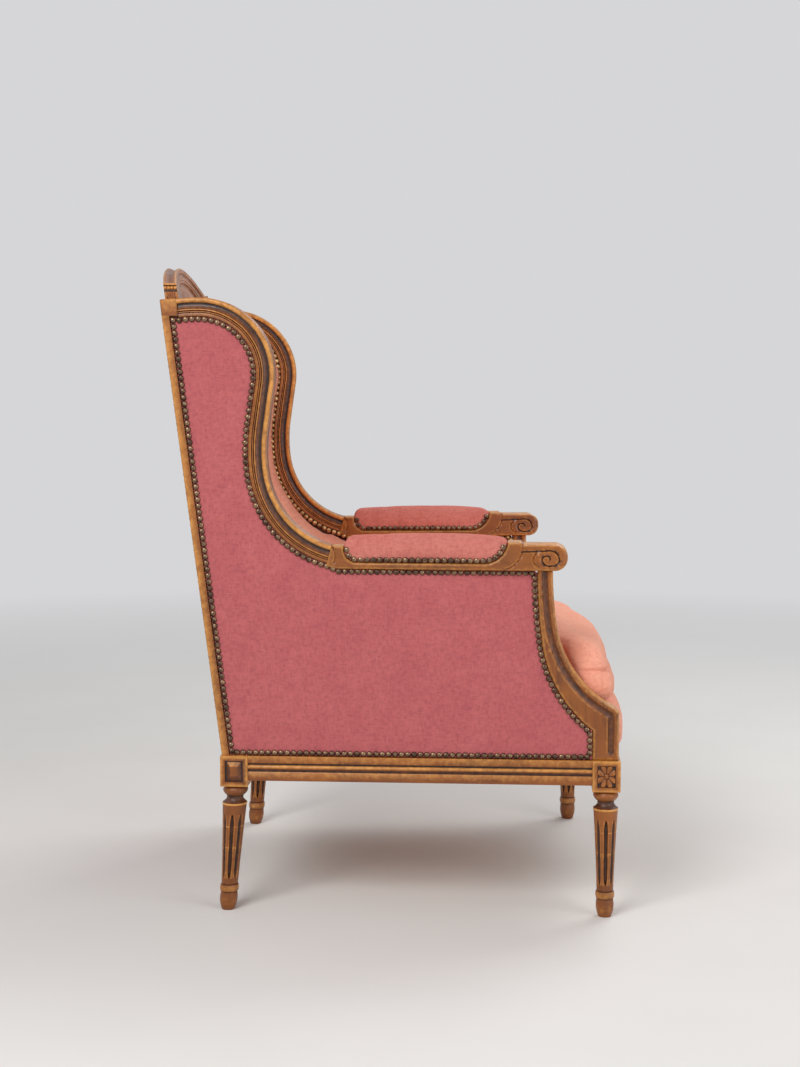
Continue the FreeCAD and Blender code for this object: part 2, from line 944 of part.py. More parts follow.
def groove_sections(start, heading):
    """Wedge-shaped groove cutters for both faces of the arm support."""
    faces = []
    for sign in (-1, 1):
        face = sign * support_thickness / 2
        tip = face - sign * support_groove_depth
        out = face + sign * support_groove_depth
        half = 2 * support_groove_half_width
        corners = [(-half, out), (0.0, tip), (half, out), (-half, out)]
        points = [at(*beside(start, heading, n), w) for n, w in corners]
        faces.append(Part.Face(Part.makePolygon(points)))
    return Part.makeCompound(faces)


def support_grooves():
    """The groove that follows the support's front edge and turns down beside its short face."""
    inset = support_groove_inset
    run = [leg.offset(inset) for leg in support_front_run()]
    last = run[-1]
    reach = (support_face - inset - last.end[0]) / math.cos(last.end_heading)
    across = Straight(last.end, last.end_heading, reach)
    down = Straight(across.end, -math.pi / 2, across.end[1] - block_top - support_groove_stop)
    cutters = []
    for leg in [*run, across, down]:
        for face in groove_sections(leg.start, leg.heading).Faces:
            cutters.append(leg.sweep(lambda start, heading, face=face: face))
    return cutters


def arm_support():
    """The arm support with its grooves and its mortises."""
    body = arm_support_body()
    return one_solid(body.cut([*support_grooves(), *side_slips(joint_gap)]))


# back frame

def stile_inner_x(z):
    """Distance from the middle plane to a stile's inner face at a height."""
    return chair_place((stile_rear(z) + stile_front(z)) / 2, -stile_width / 2)[0]


def back_line_y(z, inset):
    """Where the back stands at the covers' edge on the stiles, an inset in front of their rear."""
    return chair_place(stile_rear(z) + inset, stile_width / 2 - stile_strip)[1]


def back_board(low, high, rear_inset, front_inset):
    """A bent, raked board across the back, between two heights and two insets from the rear."""
    half = stile_inner_x(stile_top) + stile_width / 2
    radius = bow_radius(stile_inner_x(stile_top), back_bow)
    rear_y = back_line_y(stile_top, 0.0)
    centre_y = rear_y + back_bow - radius
    reach = math.degrees(math.asin(half / radius))
    edges = []
    corners = [(low, rear_inset), (high, rear_inset), (high, front_inset), (low, front_inset)]
    for z, inset in corners:
        lean = (z - stile_top) * math.tan(rake)
        edges.append(Vector(0, rear_y + back_bow - inset + lean, z))
    wire = Part.makePolygon([*edges, edges[0]])
    return bowed(wire.Edges, centre_y, reach)


def crest_arch(inset):
    """The crest's front outline, drawn in by an inset, as closed (x, z) steps down to the rail."""
    base = stile_top - top_rail_height / 2
    half = crest_half_span - inset
    shoulder = half - crest_end_width + inset
    end_top = stile_top + crest_end_rise - inset
    apex = stile_top + crest_rise - inset
    return [
        (-half, base),
        (-half, end_top),
        (-shoulder, end_top + inset / 3),
        ((0.0, apex), (shoulder, end_top + inset / 3)),
        (half, end_top),
        (half, base),
        (-half, base),
    ]


def elevation_prism(steps):
    """A prism through the back over an outline seen from the front."""
    depth = 4 * back_pad_thickness
    y0 = chair_y(stile_rear(stile_top)) - depth / 2
    edges = edges_through(steps, lambda x, z: Vector(x, y0, z))
    return face_of(edges).extrude(Vector(0, depth, 0))


def top_rail():
    """The bent top rail and its arched crest, with a raised band round the arch."""
    middle = stile_top - top_rail_height / 2
    high = stile_top + 2 * crest_rise
    rear = cover_thickness + cover_clearance
    board = back_board(top_rail_foot, stile_top, rear, stile_depth)
    thick = back_board(middle, high, rear, stile_depth)
    thin = back_board(middle, high, rear, stile_depth - crest_relief)
    arch = elevation_prism(crest_arch(0.0))
    tympanum = elevation_prism(crest_arch(crest_band))
    crest = thick.common(arch).cut(tympanum).fuse(thin.common(arch))
    posts = both(one_solid(stile()))
    return one_solid(board.fuse(crest).cut(posts + outward_of(-stile_width / 2)))


def lower_rail():
    """The hidden rail low in the back that the back covers are nailed to."""
    z0 = lower_rail_bottom
    z1 = z0 + lower_rail_height
    half = stile_inner_x(z0) + stile_width / 2
    rear = cover_thickness + joint_gap
    front = stile_depth - pad_clearance
    corners = [(z0, rear), (z1, rear), (z1, front), (z0, front), (z0, rear)]
    points = [Vector(-half, back_line_y(z, inset), z) for z, inset in corners]
    rail = Part.Face(Part.makePolygon(points)).extrude(Vector(2 * half, 0, 0))
    return one_solid(rail.cut(outward_of(-stile_width / 2)))


def tack_rail():
    """The hidden rail that the lower edges of the side's inner cover are nailed to."""
    z0 = lower_rail_bottom
    z1 = z0 + tack_rail_height
    w1 = bed_half
    bar = side_box(stile_rear(z0), 0.0, z0, z1, w1 - tack_rail_thickness, w1)
    return one_solid(bar.cut([stile(), arm_support_body()]))


# glue blocks

def glue_block(corner_f, direction, solids):
    """A three-cornered block glued inside a corner of the seat frame, cut to its neighbours."""
    inner = rail_outer - rail_thickness
    low = rail_bottom + joint_gap
    points = [
        at(corner_f, low, inner),
        at(corner_f + direction * glue_block_leg, low, inner),
        at(corner_f, low, inner - glue_block_leg),
    ]
    face = Part.Face(Part.makePolygon([*points, points[0]]))
    wedge = place(face.extrude(Vector(0, 0, glue_block_height)))
    return one_solid(wedge.cut(solids))


def glue_blocks():
    """The four glue blocks, cut to the legs and rails of their corners."""
    rail = place(side_rail())
    front = glue_block(front_tenon_f(), -1, [rail, place(block(0.0)), front_rail()])
    rear = glue_block(back_tenon_f(), 1, [rail, place(block(-side_run)), back_rail()])
    return [front, rear, mirrored(front), mirrored(rear)]


# covers and pads of the sides

def height_reached(turn, z):
    """The part of a left-hand turn that lies above a height."""
    heading = -math.acos((turn.centre[1] - z) / turn.radius)
    return Turn(turn.start, turn.heading, turn.radius, heading - turn.heading)


def panel_outline():
    """The outer cover's outline, drawn through the middle of the wood all round it."""
    inset = bed_half / 2
    wing = [leg.offset(wing_face / 2) for leg in wing_run()]
    support = [leg.offset(-inset) for leg in support_rear_run()]
    rear = stile_strip - inset
    foot = -block_side / 2 + inset
    steps = [
        wing[-1].end,
        (wing[-1].end[0], arm_underside + inset),
        (support[0].start[0], arm_underside + inset),
        support[0].start,
    ]
    edges = [leg.edge(0.0) for leg in wing + support] + edges_through(steps, at)
    steps = [
        support[-1].end,
        (foot, support[-1].end[1]),
        (foot, block_top - inset),
        (stile_rear(block_top) + rear, block_top - inset),
        (stile_rear(block_top) + rear, block_top),
        (stile_rear(stile_top) + rear, stile_top),
        wing[0].start,
    ]
    return edges + edges_through(steps, at)


def outside_panel():
    """The taut outer cover of a side, flush in its beds round the opening."""
    plate = side_plate(panel_outline(), bed_half, cover_outer)
    around = [wing_frame(), armrest(), arm_support_body(), stile(), side_rail(), block(0.0)]
    return one_solid(plate.cut([*around, block(-side_run)]))


def side_pad_outline(inset, w):
    """The inner side pad's outline, inset all round, as a closed wire at a distance outward."""
    wing = [leg.offset(wing_face + inset) for leg in wing_run()]
    support = [leg.offset(inset) for leg in support_rear_run()]
    support[-1] = height_reached(support[-1], deck_top + inset)
    rear = 2 * strap_thickness + inset
    joint_foot, level = arm_joint_foot(inset)
    edges = [leg.edge(w) for leg in wing + support]
    top = wing[0].start
    steps = [wing[-1].end, joint_foot, level, (support[0].start[0], arm_underside - inset)]
    edges += edges_through([*steps, support[0].start], lambda f, z: at(f, z, w))
    low = deck_top + inset
    high = top[1] - arm_band - inset
    steps = [support[-1].end, (stile_front(low) + rear, low), (stile_front(high) + rear, high), top]
    edges += edges_through(steps, lambda f, z: at(f, z, w))
    return Part.Wire(Part.__sortEdges__(edges))


def inside_side_pad():
    """The stuffed inner face of a side, crowned toward the sitter."""
    base = -bed_half
    wires = [
        side_pad_outline(joint_gap, base),
        side_pad_outline(side_pad_thickness, base - side_pad_thickness - side_pad_crown),
    ]
    return Part.makeLoft(wires, True, True)


def arm_pad():
    """The stuffed pad between the armrest's collars, domed across and along."""
    seat = pad_seat()
    rear, rear_lip = seat[0]
    front = seat[-1][1][0]
    curve = pad_rear_curve
    crown = arm_underside + arm_band + arm_pad_height
    shoulder = crown - 2 * arm_pad_inset
    cheek = crown - 3 * arm_pad_inset
    steps = [
        *seat,
        ((front - curve / 3, cheek), (front - curve, shoulder)),
        (((rear + front) / 2, crown), (rear + curve, shoulder)),
        ((rear + curve / 3, cheek), (rear + arm_pad_inset / 3, collar_rear_top + arm_pad_inset)),
        (rear, rear_lip),
    ]
    body = side_plate(edges_through(steps, at), -arm_half_width, arm_half_width)
    return one_solid(body.common(arm_pad_loaf(arm_underside + arm_band, crown)))


def arm_pad_loaf(low, crown):
    """A long loaf that widens with the armrest, rounded over on top."""
    rise = crown - low
    wires = []
    for f, half in ((collar_rear, arm_rear_half_width), (collar_front, arm_half_width)):
        edge = half - arm_pad_inset
        side = [(edge, low - 1), (edge, low + rise / 2), (0.85 * edge, low + 0.75 * rise)]
        side += [(0.6 * edge, low + 0.92 * rise), (0.25 * edge, crown)]
        corners = side + [(-w, z) for w, z in reversed(side)]
        points = [at(f, z, w) for w, z in corners]
        wires.append(Part.makePolygon([*points, points[0]]))
    return Part.makeLoft(wires, True, True)


# covers, webbing and pad of the back

def back_bow_at(z):
    """How far the back bows rearward at a height, from nearly straight at the seat."""
    share = (z - block_top) / (top_rail_foot - block_top)
    return back_bow_foot + (back_bow - back_bow_foot) * share


def outside_back_wire(z, inset):
    """One level of the outer back cover: flat on both stiles and bowed between them."""
    inner = stile_inner_x(z) - cover_clearance
    edge = stile_width / 2 - stile_strip - joint_gap
    half = chair_place(stile_rear(z), edge)[0]
    bow = back_bow_at(z)
    rear = back_line_y(z, inset)
    front = back_line_y(z, inset + cover_thickness)
    steps = [
        (-half, rear),
        (-inner, rear),
        ((0.0, rear + bow), (inner, rear)),
        (half, rear),
        (half, front),
        (inner, front),
        ((0.0, front + bow), (-inner, front)),
        (-half, front),
        (-half, rear),
    ]
    return Part.Wire(edges_through(steps, lambda x, y: Vector(x, y, z)))


def outside_back():
    """The taut outer cover of the back, from the seat rail up on to the top rail."""
    low = block_top + joint_gap
    high = stile_top - corner_block_drop - joint_gap
    return Part.makeLoft([outside_back_wire(low, 0.0), outside_back_wire(high, 0.0)], True, True)


def rear_bed():
    """What is sunk in a stile's rear face to bed the outer back cover."""
    z0 = block_top
    z1 = stile_top - corner_block_drop
    corners = [(z0, -1), (z1, -1), (z1, cover_thickness), (z0, cover_thickness), (z0, -1)]
    outline = [(stile_rear(z) + inset, z) for z, inset in corners]
    half = stile_width / 2
    return side_plate(edges_through(outline, at), -half - 1, half - stile_strip + joint_gap)


def back_webbing():
    """Upright straps over the front faces of the back's top and lower rails."""
    pitch = 2 * stile_inner_x(back_strap_foot) / (back_strap_count + 1)
    straps = []
    for i in range(back_strap_count):
        middle = (i - (back_strap_count - 1) / 2) * pitch
        wires = []
        for z in (back_strap_foot, back_strap_top):
            corners = []
            for side, near in ((-1, 0), (1, 0), (1, 1), (-1, 1)):
                x = middle + side * strap_width / 2
                y = back_rail_front_y(x, z) - 3 * joint_gap - near * strap_thickness
                corners.append(Vector(x, y, z))
            wires.append(Part.makePolygon([*corners, corners[0]]))
        straps.append(Part.makeLoft(wires, True, True))
    return straps


def back_rail_front_y(x, z):
    """The surface that joins the front faces of the back's rails."""
    inner = stile_inner_x(z)
    share = (z - back_strap_foot) / (back_strap_top - back_strap_foot)
    return back_line_y(z, stile_depth) + back_bow * share * (1 - (x / inner) ** 2)


def back_pad_wire(z, thickness):
    """One level of the inner back pad: it follows the rails behind and is crowned in front."""
    w = bed_half + side_pad_thickness + side_pad_crown + pad_clearance
    half = chair_place(stile_front(z), -w)[0]
    clear = strap_thickness + pad_clearance
    side_y = back_rail_front_y(half, z) - clear
    middle_y = back_rail_front_y(0.0, z) - clear
    edge_front = side_y - 0.55 * thickness
    steps = [
        (-half, side_y),
        ((0.0, middle_y), (half, side_y)),
        (half, edge_front),
        ((0.0, middle_y - thickness), (-half, edge_front)),
        (-half, side_y),
    ]
    return Part.Wire(edges_through(steps, lambda x, y: Vector(x, y, z)))


def inside_back_pad():
    """The stuffed inner back, fullest at the small of the sitter's back."""
    low = deck_top + joint_gap
    high = stile_top - corner_block_drop
    span = high - low
    full = back_pad_thickness + back_pad_crown
    levels = [(low, 0.90 * full), (low + 0.35 * span, full)]
    levels += [(low + 0.86 * span, 0.72 * full), (high, 0.30 * full)]
    return Part.makeLoft([back_pad_wire(z, t) for z, t in levels], True, True)


# seat: webbing, deck and cushion

def side_x(y, w):
    """Distance from the middle plane to the side's plane shifted outward, at a chair y."""
    f = -(y + origin_behind_front_legs)
    return front_leg_spacing / 2 + f * math.tan(toe) + w / math.cos(toe)


def seat_webbing():
    """Straps laid fore and aft on the front and back rails, and straps across them."""
    radius, centre_y, _ = front_bow_frame()
    inner_radius = radius - rail_thickness
    back = back_rail_outer() - rail_thickness + strap_lap
    pitch = (rear_leg_spacing - block_side) / (strap_count + 1)
    straps = []
    for i in range(strap_count):
        x = (i - (strap_count - 1) / 2) * pitch
        edge = abs(x) + strap_width / 2
        front = centre_y - math.sqrt(inner_radius ** 2 - edge ** 2) - strap_lap / 2
        low = Vector(x - strap_width / 2, front, seat_base)
        straps.append(Part.makeBox(strap_width, back - front, strap_thickness, low))
    run = leg_run - block_side
    for i in range(strap_count):
        y = chair_y(-block_side / 2 - (i + 0.5) * run / strap_count)
        half = side_x(y, rail_outer - rail_thickness + strap_lap / 2) - strap_lap / 4
        low = Vector(-half, y - strap_width / 2, seat_base + strap_thickness)
        straps.append(Part.makeBox(2 * half, strap_width, strap_thickness, low))
    return straps


def roll_section(centre_y, radius):
    """The stuffed front roll's section as edges in the middle plane."""
    strip = bed_half - rail_outer
    foot = block_top + joint_gap
    height = deck_top - foot
    steps = [
        (strip, foot),
        (strip / 2, foot),
        (roll_bulge, foot + height / 3),
        (roll_bulge, deck_top - height / 3),
        (strip / 2, deck_top - height / 9),
        (strip - roll_depth / 4, deck_top),
        (strip - roll_depth, deck_top),
        (strip - roll_depth, deck_bottom),
        (strip, deck_bottom),
        (strip, foot),
    ]
    return edges_through(steps, lambda out, z: Vector(0, centre_y - radius - out, z))


def seat_deck():
    """The fixed stuffed platform under the cushion, with its roll over the front rail."""
    radius, centre_y, reach = front_bow_frame()
    roll = bowed(roll_section(centre_y, radius), centre_y, reach)
    front = front_face_y() + roll_depth / 2
    back = chair_y(stile_front(deck_bottom))
    half = front_leg_spacing / 2
    low = Vector(-half, front, deck_bottom)
    platform = Part.makeBox(2 * half, back - front, deck_top - deck_bottom, low)
    sides = outward_of(-bed_half, f1=support_rear_run()[-1].end[0])
    deck = platform.cut(sides + [lower_rail(), back_rail()])
    deck = deck.fuse(roll.cut(outward_of(-support_thickness / 2)))
    around = [stile(), block(0.0), support_tongue(), tack_rail(), arm_support_body()]
    return one_solid(deck.cut([placed for shape in around for placed in both(shape)]))


def cushion_wire(z, inset):
    """One level of the cushion: bowed front, ears before the arm supports and drawn-in sides."""
    pad_w = -(bed_half + side_pad_thickness + side_pad_crown + cushion_side_clearance)
    ear_w = -(support_thickness / 2 + 4 * cushion_side_clearance)
    ear_f = support_rear_run()[-1].end[0] - cushion_corner / 4
    front_y = chair_y(cushion_front - cushion_bow) + inset
    back_f = stile_front(deck_top) + 0.9 * (back_pad_thickness + back_pad_crown)
    back_y = chair_y(back_f + cushion_back_clearance) - inset
    ear_y = chair_y(ear_f) + inset
    neck_y = ear_y + cushion_corner / 3
    ear_x = side_x(front_y, ear_w) - inset
    neck_x = side_x(neck_y, pad_w) - inset
    back_x = side_x(back_y, pad_w) - inset
    corner = cushion_corner - inset / 8
    side_middle = ((neck_x + back_x) / 2 - cushion_draw_in, (neck_y + back_y) / 2)
    half = [
        (0.0, front_y - cushion_bow),
        ((0.5 * (ear_x - corner), front_y - 0.8 * cushion_bow), (ear_x - corner / 2, front_y)),
        (ear_x - corner / 7, front_y + corner / 7),
        (ear_x, front_y + corner / 2),
        (ear_x, ear_y),
        (neck_x, neck_y),
        (side_middle, (back_x, back_y - corner / 2)),
        (back_x - corner / 7, back_y - corner / 7),
        (back_x - corner / 2, back_y),
        (0.0, back_y),
    ]
    edges = edges_through(half, lambda x, y: Vector(x, y, z))
    other = edges_through(half, lambda x, y: Vector(-x, y, z))
    return Part.Wire(Part.__sortEdges__(edges + other))


def seat_cushion():
    """The loose boxed cushion: sides that belly a little, a seam, and a dome above it."""
    low = deck_top + cushion_gap
    seam = low + cushion_boxing + cushion_corner / 4
    levels = [(low, cushion_corner / 3), (low + cushion_corner / 4, cushion_corner / 14)]
    levels += [(low + 0.6 * cushion_boxing, 0.0)]
    for i in range(cushion_dome_levels):
        turn = math.radians(cushion_dome_turn_deg) * i / (cushion_dome_levels - 1)
        rise = cushion_crown * math.sin(turn) / math.sin(math.radians(cushion_dome_turn_deg))
        levels.append((seam + rise, cushion_draw_in + cushion_dome_reach * (1 - math.cos(turn))))
    wires = [cushion_wire(z, inset) for z, inset in levels]
    return Part.makeLoft(wires, True, True)


def write(name, shapes):
    """Writes one node's file from a list of solids."""
    shape = shapes[0] if len(shapes) == 1 else Part.makeCompound(shapes)
    shape.exportStep(os.path.join("parts", name + ".step"))


def write_pair(name, shapes):
    """Writes the left and right nodes of a piece drawn in the side's plane."""
    left = [place(shape) for shape in shapes]
    write(name + "_left", left)
    write(name + "_right", [mirrored(shape) for shape in left])


def main():
    os.makedirs("parts", exist_ok=True)
    write_pair("front_leg", [front_leg()])
    write_pair("rear_post", [rear_post()])
    write_pair("side_rail", [side_rail()])
    write("front_rail", [front_rail()])
    write("back_rail", [back_rail()])
    write("seat_glue_blocks", glue_blocks())
    write_pair("wing_frame", [wing_frame()])
    write_pair("armrest", [armrest()])
    write_pair("arm_support", [arm_support()])
    write_pair("frame_slips", side_slips())
    write("top_rail", [top_rail()])
    write("back_lower_rail", [lower_rail()])
    write_pair("side_tack_rail", [tack_rail()])
    write_pair("outside_panel", [outside_panel()])
    write_pair("inside_side_pad", [inside_side_pad()])
    write_pair("arm_pad", [arm_pad()])
    write("outside_back", [outside_back()])
    write("back_webbing", back_webbing())
    write("inside_back_pad", [inside_back_pad()])
    write("seat_webbing", seat_webbing())
    write("seat_deck", [seat_deck()])
    write("seat_cushion", [seat_cushion()])


main()
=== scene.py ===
"""Looks of the carved wing armchair: waxed wood, nailed velvet covers and a loose seat cushion.

Metres. The sitter faces -Y and +Z is up. Each side of the frame is drawn in its own upright plane:
f runs forward from the front leg's axis, z runs up and w runs outward from the plane of the leg
axes. The side that is drawn is the sitter's left, and the right one is its mirror image.
"""
from __future__ import annotations

import logging
from collections.abc import Callable, Iterable, Sequence
from dataclasses import dataclass
from enum import Enum
from math import asin, atan2, ceil, copysign, cos, dist, exp, hypot, pi, radians, sin, sqrt, tan

import bmesh
import bpy
import numpy as np
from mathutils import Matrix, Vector, geometry, noise


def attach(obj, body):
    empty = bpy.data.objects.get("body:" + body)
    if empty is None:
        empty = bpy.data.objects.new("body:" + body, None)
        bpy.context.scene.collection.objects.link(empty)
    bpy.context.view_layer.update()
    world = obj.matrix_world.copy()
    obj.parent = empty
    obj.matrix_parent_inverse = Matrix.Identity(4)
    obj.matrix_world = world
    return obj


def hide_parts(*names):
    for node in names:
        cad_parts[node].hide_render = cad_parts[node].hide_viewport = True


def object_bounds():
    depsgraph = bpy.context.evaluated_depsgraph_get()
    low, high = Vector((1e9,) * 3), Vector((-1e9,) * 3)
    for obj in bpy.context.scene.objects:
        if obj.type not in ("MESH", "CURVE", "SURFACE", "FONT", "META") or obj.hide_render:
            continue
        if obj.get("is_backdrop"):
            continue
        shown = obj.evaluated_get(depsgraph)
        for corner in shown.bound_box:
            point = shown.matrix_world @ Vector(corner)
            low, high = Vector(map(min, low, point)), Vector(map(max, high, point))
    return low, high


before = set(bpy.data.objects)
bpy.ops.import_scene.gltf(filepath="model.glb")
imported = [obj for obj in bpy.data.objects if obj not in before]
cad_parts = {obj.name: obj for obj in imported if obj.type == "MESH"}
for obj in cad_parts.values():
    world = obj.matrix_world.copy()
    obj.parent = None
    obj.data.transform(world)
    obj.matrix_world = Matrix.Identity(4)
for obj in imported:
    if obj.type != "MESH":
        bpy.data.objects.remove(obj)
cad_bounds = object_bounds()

log = logging.getLogger("chair")

Flat = tuple[float, float]
Corner = tuple[float, float, float]
Place = Callable[[float, float, float], Vector]
Points = np.ndarray
Socket = bpy.types.NodeSocket
Object = bpy.types.Object

FRAME_BODY = "frame"
CUSHION_BODY = "cushion"
TINY = 1e-9


class Hand(Enum):
    """Which side of the chair a mirrored piece belongs to."""

    LEFT = 1
    RIGHT = -1


class Cut(Enum):
    """The shape of a carved groove across its width."""

    ROUND = "round"
    VEE = "vee"


class Carving(Enum):
    """What fills the sunk square of a leg's block."""

    ROSETTE = "rosette"
    RAISED_PANEL = "raised panel"
    NONE = "none"


# shade values: how pale or dark each point of the wood is painted, paled by rubbing and by painted highlights
# on edges and crowns, darkened by waxing and by painted shade in hollows
RECESS = 0.0
HOLLOW = 0.2
PLAIN = 0.5
WORN_AND_LIT = 0.8
EDGE = 1.0


def colour(red: int, green: int, blue: int) -> tuple[float, float, float, float]:
    """Turns a colour as it looks on screen into the light values that a shader takes.

    Args:
        red: Red from 0 to 255.
        green: Green from 0 to 255.
        blue: Blue from 0 to 255.

    Returns:
        Linear red, green, blue and an alpha of 1.
    """
    def linear(value: int) -> float:
        """One channel, freed of the screen's curve."""
        share = value / 255
        return share / 12.92 if share <= 0.04045 else ((share + 0.055) / 1.055) ** 2.4

    return (linear(red), linear(green), linear(blue), 1.0)


# runs and outlines in the side's plane


@dataclass(frozen=True)
class Bend:
    """A tangent length of a run: an arc, or a straight where the curve is zero."""

    start: Flat
    heading: float
    length: float
    curve: float = 0.0

    def at(self, along: float, inset: float = 0.0) -> tuple[Flat, float]:
        """Gives a point of the bend, moved to the right of its heading.

        Args:
            along: Distance from the bend's start.
            inset: Distance to the right of the heading.

        Returns:
            The point and the heading there.
        """
        turned = self.heading + self.curve * along
        if abs(self.curve) < TINY:
            f = self.start[0] + along * cos(turned)
            z = self.start[1] + along * sin(turned)
        else:
            f = self.start[0] + (sin(turned) - sin(self.heading)) / self.curve
            z = self.start[1] - (cos(turned) - cos(self.heading)) / self.curve
        return (f + inset * sin(turned), z - inset * cos(turned)), turned


@dataclass(frozen=True)
class Station:
    """A place on a run: its point, its heading and its distance from the run's start."""

    point: Flat
    heading: float
    along: float


class Run:
    """A chain of tangent bends, such as an edge that a moulding follows."""

    def __init__(self, start: Flat, heading: float) -> None:
        """Starts a run at a point with a heading."""
        self.bends: list[Bend] = []
        self.point = start
        self.heading = heading

    def turn(self, radius: float, angle: float) -> Run:
        """Adds an arc, to the left for a positive angle."""
        return self._add(abs(angle) * radius, copysign(1 / radius, angle))

    def straight(self, length: float) -> Run:
        """Adds a straight length."""
        return self._add(length, 0.0)

    def _add(self, length: float, curve: float) -> Run:
        """Adds a bend and moves the run's end.

        Args:
            length: The bend's length.
            curve: Its curvature, positive to the left.

        Returns:
            The run itself.
        """
        bend = Bend(self.point, self.heading, length, curve)
        self.bends.append(bend)
        self.point, self.heading = bend.at(length)
        return self

    def stations(self, step: float, inset: float = 0.0) -> list[Station]:
        """Samples the run.

        Args:
            step: The greatest distance between stations.
            inset: Distance to the right at which the points lie.

        Returns:
            The stations from start to end, the ends of all bends among them.
        """
        found: list[Station] = []
        before = 0.0
        for bend in self.bends:
            count = max(1, ceil(bend.length / step))
            first = 1 if found else 0
            for i in range(first, count + 1):
                along = bend.length * i / count
                point, heading = bend.at(along, inset)
                found.append(Station(point, heading, before + along))
            before += bend.length
        return found

    def points(self, step: float, inset: float = 0.0) -> list[Flat]:
        """The points of the run at an inset."""
        return [station.point for station in self.stations(step, inset)]


def beside(point: Flat, heading: float, n: float) -> Flat:
    """The point n to the right of a heading."""
    return (point[0] + n * sin(heading), point[1] - n * cos(heading))


def arc_through(start: Flat, middle: Flat, end: Flat, step: float) -> list[Flat]:
    """Samples the arc through three points, without its start.

    Args:
        start: Where the arc starts.
        middle: A point on the arc.
        end: Where the arc ends.
        step: The greatest distance between points.

    Returns:
        The points after the start, up to the end.
    """
    ax, ay = middle[0] - start[0], middle[1] - start[1]
    bx, by = end[0] - start[0], end[1] - start[1]
    cross = 2 * (ax * by - ay * bx)
    cx = (by * (ax * ax + ay * ay) - ay * (bx * bx + by * by)) / cross
    cy = (ax * (bx * bx + by * by) - bx * (ax * ax + ay * ay)) / cross
    radius = hypot(cx, cy)
    first = atan2(-cy, -cx)
    swept = (atan2(by - cy, bx - cx) - first) % (2 * pi)
    if (atan2(ay - cy, ax - cx) - first) % (2 * pi) > swept:
        swept -= 2 * pi
    count = max(2, ceil(abs(swept) * radius / step))
    centre = (start[0] + cx, start[1] + cy)
    angles = [first + swept * (i + 1) / count for i in range(count)]
    return [(centre[0] + radius * cos(a), centre[1] + radius * sin(a)) for a in angles]


def path_through(steps: Sequence[tuple], step: float) -> list[Flat]:
    """Samples a path: a plain point ends a line, a (middle, end) pair ends an arc.

    Args:
        steps: The path's steps, the first of them a plain point.
        step: The greatest distance between points.

    Returns:
        The sampled points, corners among them.
    """
    points: list[Flat] = [steps[0]]
    for item in steps[1:]:
        here = points[-1]
        if isinstance(item[0], tuple):
            points += arc_through(here, item[0], item[1], step)
            continue
        count = max(1, ceil(dist(here, item) / step))
        for i in range(1, count + 1):
            share = i / count
            points.append((here[0] + (item[0] - here[0]) * share, here[1] + (item[1] - here[1]) * share))
    return points


